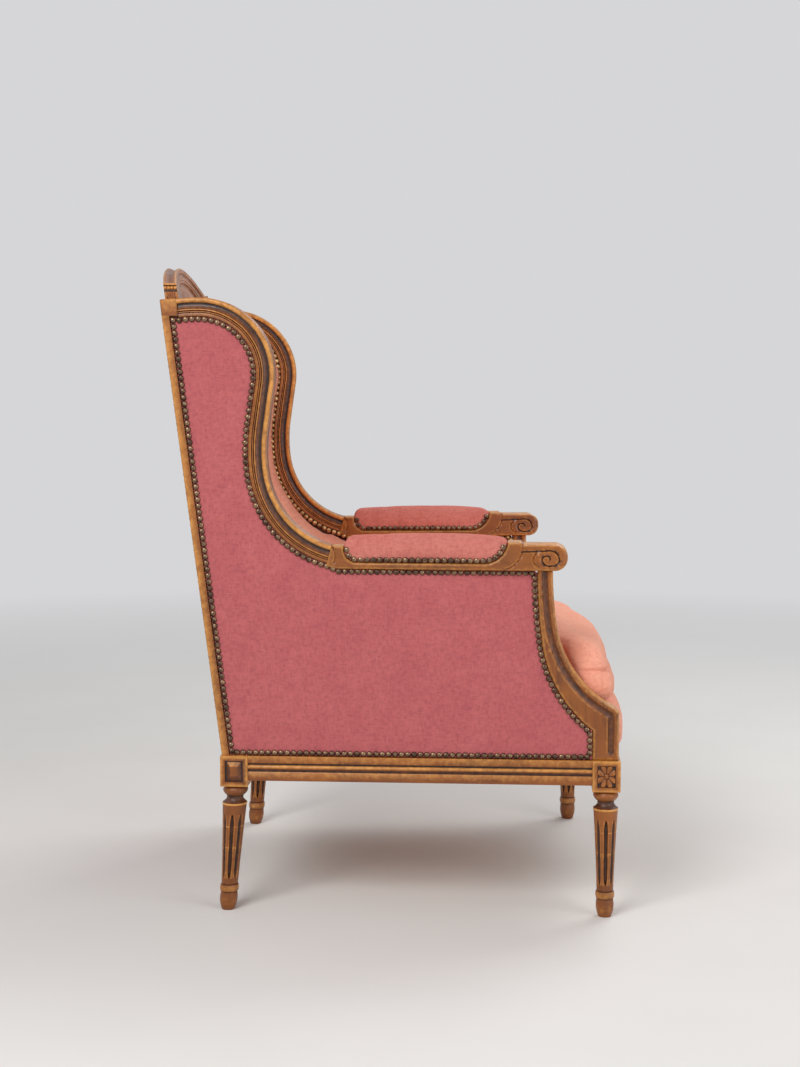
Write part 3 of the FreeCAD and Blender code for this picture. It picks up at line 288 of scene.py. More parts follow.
@dataclass(frozen=True)
class ChairPlan:
    """Sizes and places that the chair's pieces share, measured as on the frame."""

    front_half: float = 0.3225
    rear_half: float = 0.2825
    leg_run: float = 0.6065
    origin: float = 0.3456
    block_side: float = 0.0455
    block_bottom: float = 0.211
    block_top: float = 0.262
    rake_deg: float = 7.28
    stile_top: float = 1.0026
    stile_depth: float = 0.0264
    stile_width: float = 0.036
    stile_setback: float = 0.0025
    stile_strip: float = 0.012
    corner_drop: float = 0.024
    bed_half: float = 0.009
    cover: float = 0.0045
    nailing_strip: float = 0.0135
    arm_underside: float = 0.571
    scroll_radius: float = 0.0211
    arm_front: float = -0.065
    collar_rear: float = -0.4463
    collar_rear_top: float = 0.6088
    wing_face: float = 0.030
    rail_inset: float = 0.002
    back_bow: float = 0.0165
    back_bow_foot: float = 0.001
    crown_radius: float = 0.256
    crown_turn_deg: float = 8.65
    shoulder_radius: float = 0.123
    waist_radius: float = 0.256
    hollow_radius: float = 0.142
    hollow_turn_deg: float = 66.8
    wing_foot_deg: float = -15.4
    support_front_top: float = -0.0887
    support_front_end: Flat = (0.0125, 0.0858)
    support_front_turns: Flat = (9.25, -28.0)
    support_rear_top: float = -0.1137
    support_rear_rise: float = 0.0483
    support_rear_turns: Flat = (7.97, -37.5)
    arm_band: float = 0.0103

    @property
    def toe(self) -> float:
        """How far each side turns in toward the back."""
        return atan2(self.front_half - self.rear_half, self.leg_run)

    @property
    def rake(self) -> float:
        """How far the stiles lean back."""
        return radians(self.rake_deg)

    @property
    def side_run(self) -> float:
        """From the front leg's axis to the rear leg's, along a side."""
        return hypot(self.leg_run, self.front_half - self.rear_half)

    @property
    def outward(self) -> Vector:
        """The direction that the drawn side faces."""
        return (self.put(0, 0, 1) - self.put(0, 0, 0)).normalized()

    @property
    def arm_top(self) -> float:
        """Height of the armrest's scrolled end."""
        return self.arm_underside + 2 * self.scroll_radius

    @property
    def rail_outer(self) -> float:
        """How far out the face of a side rail stands."""
        return self.block_side / 2 - self.rail_inset

    def put(self, f: float, z: float, w: float) -> Vector:
        """The place in the chair of a point of the drawn side.

        Args:
            f: How far forward it lies from the front leg's axis.
            z: Its height.
            w: How far outward it lies from the plane of the leg axes.

        Returns:
            The place as x, y and z.
        """
        x = self.front_half + w * cos(self.toe) + f * sin(self.toe)
        y = w * sin(self.toe) - f * cos(self.toe) - self.origin
        return Vector((x, y, z))

    def stile_rear(self, z: float) -> float:
        """Where the stile's rear edge stands at a height."""
        foot = -self.side_run - self.block_side / 2 + self.stile_setback
        return foot - (z - self.block_top) * tan(self.rake)

    def stile_front(self, z: float) -> float:
        """Where the stile's front edge stands at a height."""
        return self.stile_rear(z) + self.stile_depth

    def stile_inner_x(self, z: float) -> float:
        """Distance from the middle plane to a stile's inner face."""
        middle = (self.stile_rear(z) + self.stile_front(z)) / 2
        return self.put(middle, z, -self.stile_width / 2).x

    def back_line_y(self, z: float, inset: float) -> float:
        """Where the back stands at the covers' edge on the stiles."""
        return self.put(self.stile_rear(z) + inset, z, self.stile_width / 2 - self.stile_strip).y

    def wing_run(self) -> Run:
        """The free edge of the wing, from the stile's top down to the arm."""
        shoulder, waist = self.shoulder_radius, self.waist_radius
        hollow_turn = radians(self.hollow_turn_deg)
        foot_heading = radians(self.wing_foot_deg)
        start = (self.stile_front(self.stile_top), self.stile_top + self.stile_depth * tan(self.rake))
        run = Run(start, self.rake).turn(self.crown_radius, -radians(self.crown_turn_deg))
        end = (self.collar_rear, self.collar_rear_top)
        back = Run(end, foot_heading + pi).turn(self.hollow_radius, -hollow_turn)
        hollow_heading = foot_heading - hollow_turn
        waist_centre = beside(back.point, hollow_heading, -waist)
        shoulder_centre = beside(run.point, run.heading, shoulder)
        df, dz = waist_centre[0] - shoulder_centre[0], waist_centre[1] - shoulder_centre[1]
        reach = shoulder + waist
        length = sqrt(df * df + dz * dz - reach * reach)
        heading = atan2(dz, df) - atan2(reach, length)
        run.turn(shoulder, heading - run.heading).straight(length)
        return run.turn(waist, hollow_heading - heading).turn(self.hollow_radius, hollow_turn)

    def support_front(self) -> Run:
        """The front edge of the arm support, from the armrest to its nose."""
        turn, heading = map(radians, self.support_front_turns)
        end = (self.support_front_end[0], self.block_top + self.support_front_end[1])
        return two_arcs((self.support_front_top, self.arm_underside), turn, end, heading)

    def support_rear(self) -> Run:
        """The rear edge of the arm support, from the armrest to the block's rear face."""
        turn, heading = map(radians, self.support_rear_turns)
        end = (-self.block_side / 2, self.block_top + self.support_rear_rise)
        return two_arcs((self.support_rear_top, self.arm_underside), turn, end, heading)


def two_arcs(start: Flat, turn: float, end: Flat, end_heading: float) -> Run:
    """Joins two places by two left-hand arcs that start straight down.

    Args:
        start: Where the run starts.
        turn: The angle that the first arc turns by.
        end: Where the run ends.
        end_heading: The heading at the end.

    Returns:
        The run of the two arcs.
    """
    heading = -pi / 2
    meeting = heading + turn
    first = (sin(meeting) - sin(heading), cos(heading) - cos(meeting))
    second = (sin(end_heading) - sin(meeting), cos(meeting) - cos(end_heading))
    df, dz = end[0] - start[0], end[1] - start[1]
    spread = first[0] * second[1] - first[1] * second[0]
    run = Run(start, heading).turn((df * second[1] - dz * second[0]) / spread, turn)
    return run.turn((first[0] * dz - first[1] * df) / spread, end_heading - meeting)


PLAN = ChairPlan()


# materials


class Brush:
    """Lays shader nodes in a new material and joins them."""

    def __init__(self, name: str, world: bpy.types.World | None = None) -> None:
        """Starts on a new material, or on a world.

        Args:
            name: The material's name.
            world: The world, where the nodes are its own.
        """
        self.material = world or bpy.data.materials.new(name)
        self.material.use_nodes = True
        self.nodes = self.material.node_tree.nodes
        self.links = self.material.node_tree.links
        self.shader = self.nodes.get("Principled BSDF")

    def add(self, kind: str, inputs: dict | None = None, **settings: object) -> bpy.types.Node:
        """Adds a node.

        Args:
            kind: The node's type name.
            inputs: Values, or sockets to join, by input name or number.
            **settings: Properties of the node.

        Returns:
            The new node.
        """
        node = self.nodes.new(kind)
        for key, value in settings.items():
            setattr(node, key, value)
        for key, value in (inputs or {}).items():
            self.feed(node.inputs[key], value)
        return node

    def feed(self, socket: Socket, value: object) -> None:
        """Joins a socket to another one, or sets its value.

        Args:
            socket: The input that takes it.
            value: A socket to join, or a plain value.
        """
        if isinstance(value, Socket):
            self.links.new(value, socket)
        else:
            socket.default_value = value

    def coat(self, colour: object, roughness: object, normal: object, **dials: object) -> bpy.types.Material:
        """Gives the shader its colour, roughness and normal, and sets its other dials.

        Args:
            colour: The base colour.
            roughness: The roughness, plain or from a socket.
            normal: The bumped normal.
            **dials: Plain values of other inputs, with _ for each space of their names.

        Returns:
            The finished material.
        """
        inputs = self.shader.inputs
        for name, value in (("Base Color", colour), ("Roughness", roughness), ("Normal", normal)):
            self.feed(inputs[name], value)
        for name, value in dials.items():
            inputs[name.replace("_", " ")].default_value = value
        return self.material

    def place(self) -> Socket:
        """The object's own coordinates, in metres."""
        return self.add("ShaderNodeTexCoord").outputs["Object"]

    def math(self, operation: str, one: object, other: object = 0.0) -> Socket:
        """The result of a maths node."""
        return self.add("ShaderNodeMath", {0: one, 1: other}, operation=operation).outputs[0]

    def ranged(
        self, value: object, low: float, high: float, out: Flat = (0.0, 1.0)
    ) -> Socket:
        """A value carried from one range to another, held at its ends."""
        inputs = {"Value": value, "From Min": low, "From Max": high, "To Min": out[0], "To Max": out[1]}
        return self.add("ShaderNodeMapRange", inputs).outputs[0]

    def mixed(self, share: object, one: object, other: object) -> Socket:
        """Two colours mixed by a share.

        Args:
            share: How much of the other colour shows.
            one: The colour at a share of nothing.
            other: The colour at a share of one.

        Returns:
            The mixed colour.
        """
        node = self.add("ShaderNodeMix", data_type="RGBA")
        self.feed(node.inputs["Factor"], share)
        for name, value in (("A", one), ("B", other)):
            self.feed(next(s for s in node.inputs if s.name == name and s.type == "RGBA"), value)
        return next(s for s in node.outputs if s.type == "RGBA")

    def noise(
        self, where: object, scale: float, detail: float = 3.0, distortion: float = 0.0
    ) -> Socket:
        """The value of a noise texture."""
        inputs = {"Vector": where, "Scale": scale, "Detail": detail, "Distortion": distortion}
        return self.add("ShaderNodeTexNoise", inputs).outputs["Fac"]

    def stretched(self, where: object, scale: Corner) -> Socket:
        """Coordinates scaled differently along each axis."""
        return self.add("ShaderNodeMapping", {"Vector": where, "Scale": scale}).outputs[0]

    def bump(self, height: object, distance: float, below: object = None) -> Socket:
        """A bumped normal.

        Args:
            height: The height's share at each place.
            distance: How high a share of one stands.
            below: The normal that the bumps lie on, if they lie on one.

        Returns:
            The normal.
        """
        inputs = {"Height": height, "Distance": distance}
        if below is not None:
            inputs["Normal"] = below
        return self.add("ShaderNodeBump", inputs).outputs[0]


@dataclass(frozen=True)
class Finish:
    """A finish that pieces share: its name and a material slot's name."""

    name: str
    slot: str

    def material(self) -> bpy.types.Material:
        """The finish's material, made the first time that it is asked for."""
        return bpy.data.materials.get(self.name) or self.make()

    def make(self) -> bpy.types.Material:
        """Makes the finish's material."""
        raise NotImplementedError


@dataclass(frozen=True)
class CarvedWood(Finish):
    """Waxed walnut, paled by rubbing and by painted highlights on its edges and darkened in its hollows by
    old waxing and by painted shade.
    """

    light: tuple = colour(160, 92, 31)
    middle: tuple = colour(129, 69, 23)
    dark: tuple = colour(88, 44, 17)
    # the two darkest colours below stand for old waxing and also lay painted shade in hollows; the pale gold
    # one stands for rubbing and also lays painted highlights
    wax_and_shade: tuple = colour(30, 13, 8)
    bloom_and_shade: tuple = colour(76, 41, 31)
    worn_and_lit: tuple = colour(222, 156, 78)
    grained: bool = True
    figure_scale: Corner = (5.0, 60.0, 60.0)
    pore_scale: Corner = (45.0, 900.0, 900.0)
    blotch_scale: float = 9.0
    speckle_scale: float = 140.0
    chip_scale: float = 60.0
    gloss_scale: float = 22.0

    def make(self) -> bpy.types.Material:
        """Grain along each piece, hollows darkened by waxing and by painted shade, edges paled by rubbing and
        by painted highlights, and small knocks.
        """
        brush = Brush(self.name)
        place = brush.place()
        if self.grained:
            grain = brush.add("ShaderNodeAttribute", attribute_name="grain").outputs["Vector"]
            shade = brush.add("ShaderNodeAttribute", attribute_name="shade").outputs["Fac"]
        else:
            grain = brush.stretched(place, (1.0, 1.0, 1.0))
            shade = PLAIN
        figure = brush.noise(brush.stretched(grain, self.figure_scale), 1.0, 6.0, 1.2)
        pores = brush.noise(brush.stretched(grain, self.pore_scale), 1.0, 2.0)
        blotch = brush.noise(place, self.blotch_scale, 2.0, 0.5)
        ground = brush.mixed(brush.ranged(figure, 0.3, 0.6), self.dark, self.middle)
        ground = brush.mixed(brush.ranged(blotch, 0.36, 0.72, (0.1, 0.85)), ground, self.light)
        ground = brush.mixed(brush.ranged(pores, 0.62, 0.72, (0.0, 0.45)), ground, self.dark)
        speckle = brush.noise(place, self.speckle_scale, 4.0)
        wobble = brush.math("ADD", shade, brush.ranged(speckle, 0.3, 0.7, (-0.09, 0.09)))
        dusty = brush.ranged(blotch, 0.3, 0.7, (0.45, 0.95))
        # painted shade along with waxing: the purple-brown colour gathers in coves and hollows
        hollow = brush.math("MULTIPLY", brush.ranged(wobble, 0.16, 0.46, (0.9, 0.0)), dusty)
        waxed_and_shaded = brush.mixed(hollow, ground, self.bloom_and_shade)
        # painted shade along with waxing: the near-black colour fills the deepest grooves
        waxed_and_shaded = brush.mixed(brush.ranged(wobble, 0.0, 0.26, (0.94, 0.0)), waxed_and_shaded, self.wax_and_shade)
        chips = brush.noise(place, self.chip_scale, 5.0, 0.8)
        chance = brush.ranged(chips, 0.36, 0.56, (0.5, 1.0))
        # painted highlight along with rubbing: the pale gold colour lies on edges and crowns
        rubbed = brush.math("MULTIPLY", brush.ranged(wobble, 0.58, 1.0, (0.0, 0.9)), chance)
        worn_and_lit = brush.mixed(rubbed, waxed_and_shaded, self.worn_and_lit)
        gloss = brush.ranged(brush.noise(place, self.gloss_scale, 3.0), 0.3, 0.7, (0.3, 0.5))
        knocks = brush.bump(chips, 0.0005, brush.bump(pores, 0.0002))
        return brush.coat(worn_and_lit, gloss, knocks, Specular_IOR_Level=0.5)


@dataclass(frozen=True)
class PlainWood(Finish):
    """Unfinished beech of the hidden rails."""

    light: tuple = colour(214, 182, 136)
    dark: tuple = colour(176, 138, 94)
    figure_scale: Corner = (6.0, 40.0, 60.0)
    fleck_scale: Corner = (80.0, 500.0, 500.0)

    def make(self) -> bpy.types.Material:
        """Straight grain with small flecks."""
        brush = Brush(self.name)
        place = brush.place()
        figure = brush.noise(brush.stretched(place, self.figure_scale), 1.0, 5.0, 0.6)
        flecks = brush.noise(brush.stretched(place, self.fleck_scale), 1.0, 2.0)
        ground = brush.mixed(brush.ranged(figure, 0.35, 0.65), self.dark, self.light)
        ground = brush.mixed(brush.ranged(flecks, 0.6, 0.75, (0.0, 0.5)), ground, self.dark)
        return brush.coat(ground, 0.75, brush.bump(flecks, 0.0002))


@dataclass(frozen=True)
class Velvet(Finish):
    """Short-pile velvet: brushed patches, a faint weave and a sheen."""

    light: tuple = colour(198, 109, 109)
    middle: tuple = colour(181, 92, 96)
    dark: tuple = colour(146, 72, 80)
    sheen: float = 0.35
    patch: float = 16.0
    thread: float = 0.0015
    thread_stretch: float = 0.12
    mottle_scale: float = 160.0
    pile_scale: float = 2600.0

    def make(self) -> bpy.types.Material:
        """Pile brushed two ways, mottled threads, and the nap's own shine."""
        brush = Brush(self.name)
        place = brush.place()
        nap = brush.noise(place, self.patch, 4.0, 1.4)
        ground = brush.mixed(brush.ranged(nap, 0.3, 0.7, (0.3, 0.8)), self.middle, self.light)
        mottle = brush.noise(place, self.mottle_scale, 3.0)
        ground = brush.mixed(brush.ranged(mottle, 0.45, 0.75, (0.0, 0.42)), ground, self.dark)
        turns = 1.0 / self.thread
        slow = turns * self.thread_stretch
        upright = brush.noise(brush.stretched(place, (turns, turns, slow)), 1.0, 1.0)
        level = brush.noise(brush.stretched(place, (slow, slow, turns)), 1.0, 1.0)
        weave = brush.math("ADD", upright, level)
        ground = brush.mixed(brush.ranged(weave, 0.85, 1.25, (0.0, 0.3)), ground, self.dark)
        pile = brush.bump(brush.noise(place, self.pile_scale, 1.0), 0.0002, brush.bump(weave, 0.0002))
        return brush.coat(
            ground, 0.92, pile, Specular_IOR_Level=0.15, Sheen_Weight=self.sheen, Sheen_Roughness=0.45,
            Sheen_Tint=self.light,
        )


@dataclass(frozen=True)
class Webbing(Finish):
    """Jute webbing, woven coarsely."""

    light: tuple = colour(196, 172, 128)
    dark: tuple = colour(140, 112, 74)

    def make(self) -> bpy.types.Material:
        """Crossed coarse threads."""
        brush = Brush(self.name)
        place = brush.place()
        one = brush.add("ShaderNodeTexWave", {"Vector": place, "Scale": 90.0}, bands_direction="X")
        other = brush.add("ShaderNodeTexWave", {"Vector": place, "Scale": 90.0}, bands_direction="Y")
        weave = brush.math("MULTIPLY", one.outputs["Fac"], other.outputs["Fac"])
        return brush.coat(brush.mixed(weave, self.dark, self.light), 0.9, brush.bump(weave, 0.0006))


@dataclass(frozen=True)
class Bronze(Finish):
    """Antiqued bronze of the nail heads."""

    light: tuple = colour(146, 118, 92)
    dark: tuple = colour(84, 64, 52)

    def make(self) -> bpy.types.Material:
        """Dark metal rubbed brighter in places."""
        brush = Brush(self.name)
        place = brush.place()
        rubbed = brush.noise(place, 90.0, 3.0, 0.5)
        ground = brush.mixed(brush.ranged(rubbed, 0.4, 0.62), self.dark, self.light)
        gloss = brush.ranged(rubbed, 0.3, 0.7, (0.5, 0.3))
        return brush.coat(ground, gloss, brush.bump(brush.noise(place, 500.0), 0.0001), Metallic=0.85)


CARVED = CarvedWood("waxed_walnut", "carved_wood")
CARVED_PLAIN = CarvedWood("waxed_walnut_plain", "carved_wood", grained=False)
BEECH = PlainWood("beech", "plain_wood")
OUTER_VELVET = Velvet("rose_velvet", "outer_velvet")
INNER_VELVET = Velvet(
    "salmon_velvet", "inner_velvet", colour(250, 186, 160), colour(240, 162, 138), colour(214, 124, 104), 0.45
)
JUTE = Webbing("jute", "webbing")
# the arm pads' velvet: a darker, pinker copy of the inner velvet, tinted toward how the pads look in shade,
# so its colour is partly painted shade
ARM_VELVET = Velvet(
    "arm_velvet_shade_tinted", "inner_velvet", colour(214, 134, 122), colour(198, 111, 100), colour(166, 82, 76), 0.45
)
NAIL_BRONZE = Bronze("antique_bronze", "carved_wood")
# a paler copy of the nails' bronze for the rows on the inner faces and the seat's front, a painted highlight
# for the light those nails catch
NAIL_BRONZE_LIT = Bronze("bronze_with_painted_highlight", "carved_wood", colour(206, 170, 122), colour(132, 98, 66))


# meshes


GRAIN_SHIFT = 0.7
SHARP_DEG = 38.0


class Skin:
    """Points and faces of one piece, with the shade and the grain at each point."""

    def __init__(self) -> None:
        """Starts with nothing."""
        self.points: list[Vector] = []
        self.shades: list[float] = []
        self.grains: list[Corner] = []
        self.faces: list[tuple[int, ...]] = []

    def ring(self, points: Iterable[Vector], shades: Iterable[float], along: float) -> list[int]:
        """Adds a row of points that lie across the grain.

        Args:
            points: The row's points in the chair.
            shades: The shade of each point.
            along: How far along the grain the row lies.

        Returns:
            The numbers of the new points.
        """
        first = len(self.points)
        across = 0.0
        for point in points:
            if len(self.points) > first:
                across += (point - self.points[-1]).length
            self.points.append(point)
            self.grains.append((along, across, 0.0))
        self.shades += list(shades)
        return list(range(first, len(self.points)))

    def bridge(self, one: Sequence[int], other: Sequence[int], closed: bool = True) -> None:
        """Joins two rows of as many points by faces.

        Args:
            one: The numbers of the first row's points.
            other: The numbers of the second row's points.
            closed: Whether the rows' ends meet.
        """
        count = len(one)
        for i in range(count if closed else count - 1):
            j = (i + 1) % count
            self.faces.append((one[i], one[j], other[j], other[i]))

    def loft(self, rings: Sequence[Sequence[int]]) -> None:
        """Joins rows one after the other, and closes the two ends."""
        for one, other in zip(rings, rings[1:]):
            self.bridge(one, other)
        self.faces += [tuple(reversed(rings[0])), tuple(rings[-1])]

    def build(self, name: str, finish: Finish, hand: Hand = Hand.LEFT) -> Object:
        """Makes the object.

        Args:
            name: The piece's name.
            finish: Its finish.
            hand: The side it belongs to, where it is one of a pair.

        Returns:
            The object, riding on nothing yet.
        """
        side = hand.value
        mesh = bpy.data.meshes.new(name)
        mesh.from_pydata([(side * p.x, p.y, p.z) for p in self.points], [], self.faces)
        shade = mesh.attributes.new("shade", "FLOAT", "POINT")
        shade.data.foreach_set("value", np.array(self.shades, np.float32))
        grain = mesh.attributes.new("grain", "FLOAT_VECTOR", "POINT")
        shift = GRAIN_SHIFT * side
        grain.data.foreach_set("vector", (np.array(self.grains, np.float32) + shift).ravel())
        bm = bmesh.new()
        bm.from_mesh(mesh)
        bmesh.ops.recalc_face_normals(bm, faces=bm.faces)
        bm.to_mesh(mesh)
        bm.free()
        mesh.shade_smooth()
        mesh.set_sharp_from_angle(angle=radians(SHARP_DEG))
        mesh.materials.append(finish.material())
        piece = bpy.data.objects.new(name, mesh)
        bpy.context.scene.collection.objects.link(piece)
        return piece


def fit(piece: Object, finish: Finish, body: str, *nodes: str) -> Object:
    """Lets a piece ride on a body and hides the nodes that it stands for.

    Args:
        piece: The finished object.
        finish: Not used.
        body: The body that it moves with.
        *nodes: The frame's nodes that it replaces.

    Returns:
        The same object.
    """
    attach(piece, body)
    if nodes:
        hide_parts(*nodes)
    log.info("%s: %d points", piece.name, len(piece.data.vertices))
    return piece


def fit_pair(skin: Skin, name: str, finish: Finish, node: str = "") -> list[Object]:
    """Builds and fits a piece of the drawn side and its twin.

    Args:
        skin: The skin on the drawn side.
        name: The piece's name without its side.
        finish: Its finish.
        node: The name without its side of the nodes that it replaces, if it does.

    Returns:
        The left and the right piece.
    """
    pieces = []
    for hand, word in ((Hand.LEFT, "left"), (Hand.RIGHT, "right")):
        piece = skin.build(f"{name}_{word}", finish, hand)
        nodes = (f"{node}_{word}",) if node else ()
        pieces.append(fit(piece, finish, FRAME_BODY, *nodes))
    return pieces


def segments_of(line: Points, closed: bool) -> tuple[Points, Points]:
    """Starts and ends of a line's straight lengths."""
    ends = np.roll(line, -1, axis=0) if closed else line[1:]
    return (line if closed else line[:-1]), ends


def distance_to(points: Points, line: Points, closed: bool) -> Points:
    """Distance of each point from a line of many short lengths.

    Args:
        points: The points, one to a row.
        line: The line's corners.
        closed: Whether its ends meet.

    Returns:
        The distances.
    """
    starts, ends = segments_of(line, closed)
    nearest = np.full(len(points), np.inf)
    for start, end in zip(starts, ends):
        along = end - start
        square = max(float(along @ along), 1e-18)
        share = np.clip(((points - start) @ along) / square, 0.0, 1.0)
        gap = points - start - share[:, None] * along
        nearest = np.minimum(nearest, np.einsum("ij,ij->i", gap, gap))
    return np.sqrt(nearest)


def inside_of(points: Points, outline: Points) -> Points:
    """Whether each point lies inside a closed outline.

    Args:
        points: The points, one to a row.
        outline: The outline's corners.

    Returns:
        True for each point that lies inside.
    """
    starts, ends = segments_of(outline, True)
    hits = np.zeros(len(points), int)
    for (x0, y0), (x1, y1) in zip(starts, ends):
        if y0 == y1:
            continue
        spans = (points[:, 1] > min(y0, y1)) & (points[:, 1] <= max(y0, y1))
        crossing = x0 + (points[:, 1] - y0) * (x1 - x0) / (y1 - y0)
        hits += spans & (crossing > points[:, 0])
    return hits % 2 == 1


def normals_of(line: Points, closed: bool) -> Points:
    """Unit normals along a line, to the left of its direction.

    Args:
        line: The line's corners.
        closed: Whether its ends meet.

    Returns:
        A normal for each corner.
    """
    if closed:
        along = np.roll(line, -1, axis=0) - np.roll(line, 1, axis=0)
    else:
        along = np.gradient(line, axis=0)
    along /= np.maximum(np.linalg.norm(along, axis=1), 1e-12)[:, None]
    return np.stack([-along[:, 1], along[:, 0]], axis=1)


@dataclass(frozen=True)
class Groove:
    """A carved line: where it runs, how wide and deep it is, and its shape across."""

    line: tuple[Flat, ...]
    half_width: float
    depth: float
    cut: Cut = Cut.ROUND
    floor_shade: float = RECESS

    def sink(self, points: Points) -> tuple[Points, Points]:
        """How deep the groove sinks each point, and how near its middle the point lies.

        Args:
            points: The points, one to a row.

        Returns:
            The depths, and the distances from the middle in half widths.
        """
        share = distance_to(points, np.array(self.line), False) / self.half_width
        inner = np.clip(1.0 - share, 0.0, 1.0)
        depth = inner if self.cut is Cut.VEE else 1.0 - (1.0 - inner) ** 2.5
        return self.depth * depth, share


@dataclass(frozen=True)
class CarvedPlate:
    """A plate sawn to an outline, with rounded edges and grooves carved in its faces."""

    outline: tuple[Flat, ...]
    grooves: tuple[Groove, ...] = ()
    edge_round: float = 0.003
    spacing: float = 0.0022
    edge_rows: tuple[float, ...] = (0.12, 0.4, 0.8, 1.15)
    groove_rows: tuple[float, ...] = (-1.2, -1.0, -0.72, -0.4, 0.0, 0.4, 0.72, 1.0, 1.2)
    hollow_shares: tuple[float, ...] = (0.1, 0.22, 0.36, 0.5, 0.64, 0.78, 0.9)

    def seeds(self) -> Points:
        """Points of the face's mesh: the outline first, then rows beside edges and grooves."""
        outline = np.array(self.outline)
        normals = normals_of(outline, True)
        rows = [outline + normals * self.edge_round * share for share in self.edge_rows]
        rows += [outline - normals * self.edge_round * share for share in self.edge_rows]
        near = np.concatenate(rows)
        wanted = np.repeat(np.tile(self.edge_rows, 2), len(outline)) * self.edge_round
        gap = distance_to(near, outline, True)
        near = near[inside_of(near, outline) & (gap > 0.93 * wanted)]
        beside_grooves = []
        for groove in self.grooves:
            line = np.array(groove.line)
            across = normals_of(line, False) * groove.half_width
            beside_grooves += [line + across * share for share in self.groove_rows]
        low, high = outline.min(0), outline.max(0)
        step = self.spacing * 2.4
        columns, rows = (np.arange(low[axis], high[axis], step) for axis in (0, 1))
        grid = np.stack(np.meshgrid(columns, rows), -1)
        loose = np.concatenate([*beside_grooves, grid.reshape(-1, 2)])
        loose = loose[inside_of(loose, outline)]
        loose = loose[distance_to(loose, outline, True) > 0.5 * self.edge_round]
        return thinned(outline, np.concatenate([near, loose]), self.spacing * 0.3)

    def flat_mesh(self) -> tuple[Points, list[tuple[int, ...]]]:
        """The face's points and its triangles, drawn flat."""
        points = self.seeds()
        count = len(self.outline)
        edges = [(i, (i + 1) % count) for i in range(count)]
        scaled = [Vector((x * 1000, y * 1000)) for x, y in points]
        made = geometry.delaunay_2d_cdt(scaled, edges, [], 1, 1e-4)
        found = np.array([(p.x / 1000, p.y / 1000) for p in made[0]])
        return found, [tuple(face) for face in made[2]]

    def sink(self, points: Points) -> tuple[Points, Points]:
        """How deep each point lies below the face, and its shade.

        Args:
            points: The points of the face, one to a row.

        Returns:
            The depths and the shades.
        """
        gap = distance_to(points, np.array(self.outline), True)
        radius = self.edge_round
        inner = np.clip(radius - gap, 0.0, radius)
        depth = radius - np.sqrt(radius * radius - inner * inner)
        # painted highlight along with rubbing: paler toward the rounded edges
        shade = PLAIN + (EDGE - PLAIN) * np.clip(1.0 - gap / (1.6 * radius), 0.0, 1.0) * 0.8
        for groove in self.grooves:
            sunk, share = groove.sink(points)
            depth = np.maximum(depth, sunk)
            # painted highlight along with rubbing on the lips beside each groove; painted shade along with
            # waxing on its floor
            lip = np.clip(1.0 - np.abs(share - 1.15) / 0.25, 0.0, 1.0)
            shade = np.maximum(shade, PLAIN + (WORN_AND_LIT - PLAIN) * lip)
            shade = np.where(share < 1.0, groove.floor_shade + 0.2 * share ** 4, shade)
        return depth, shade

    def solid(
        self, front: Place, back: Place, back_carved: bool = True, upright: bool = False,
        lift: Callable[[Points], Points] | None = None,
        hollow: Callable[[float, float], float] | None = None,
    ) -> Skin:
        """Makes both faces and the edge between them.

        Args:
            front: Gives the chair's place of (u, v, depth below the front face).
            back: The same for the back face.
            back_carved: Whether the back face has the grooves too.
            upright: Whether the grain runs along v.
            lift: How far points stand proud of both faces toward the front.
            hollow: How deep the edge between the faces is hollowed beside a point.

        Returns:
            The plate's skin.
        """
        points, triangles = self.flat_mesh()
        raised = lift(points) if lift else np.zeros(len(points))
        depth, shade = self.sink(points)
        plain = CarvedPlate(self.outline, (), self.edge_round, self.spacing)
        back_depth, back_shade = (depth, shade) if back_carved else plain.sink(points)
        skin = Skin()
        for place, sunk, tint, way in ((front, depth, shade, -1), (back, back_depth, back_shade, 1)):
            for (u, v), d, s, up in zip(points, sunk, tint, raised):
                skin.points.append(place(u, v, d + way * up))
                skin.shades.append(float(s))
                along, across = (v, u) if upright else (u, v)
                skin.grains.append((float(along), float(across), float(d)))
        count = len(points)
        skin.faces += triangles
        skin.faces += [tuple(i + count for i in reversed(face)) for face in triangles]
        edge = len(self.outline)
        rows = [list(range(edge))]
        inward = normals_of(np.array(self.outline), True)
        for share in self.hollow_shares if hollow else ():
            row, shades = [], []
            for (u, v), (a, b) in zip(self.outline, inward):
                deep = hollow(u, v) * sin(pi * share) ** 1.6
                here = (u + a * deep, v + b * deep, self.edge_round)
                row.append(front(*here).lerp(back(*here), share))
                # painted shade along with waxing: the hollowed edge is darkest at its middle
                shades.append(PLAIN if deep < 0.0004 else 0.28 + 0.5 * abs(2 * share - 1) ** 3)
            rows.append(skin.ring(row, shades, 0.0))
        rows.append([i + count for i in range(edge)])
        for one, other in zip(rows, rows[1:]):
            skin.bridge(other, one)
        return skin


def thinned(kept: Points, others: Points, reach: float) -> Points:
    """Drops points that lie in or beside the cell of one that is kept already.

    Args:
        kept: The points that all stay.
        others: The points to choose from.
        reach: The cells' width.

    Returns:
        The kept points and then the chosen ones.
    """
    taken = {tuple(cell) for cell in np.round(kept / reach).astype(int)}
    chosen = []
    for point in others:
        cell = (round(point[0] / reach), round(point[1] / reach))
        around = [(cell[0] + a, cell[1] + b) for a in (-1, 0, 1) for b in (-1, 0, 1)]
        if not any(c in taken for c in around):
            taken.add(cell)
            chosen.append(point)
    return np.concatenate([kept, np.array(chosen)]) if chosen else kept


# turned legs, blocks and posts


@dataclass(frozen=True)
class Turning:
    """A turned length of a leg: heights, radii at its ends, and how far it swells between."""

    low: float
    high: float
    low_radius: float
    high_radius: float
    swell: float = 0.0
    shade: float = PLAIN
    rows: int = 6

    def radius(self, share: float) -> float:
        """The radius at a share of the length."""
        straight = self.low_radius + (self.high_radius - self.low_radius) * share
        return straight + self.swell * sin(pi * share)


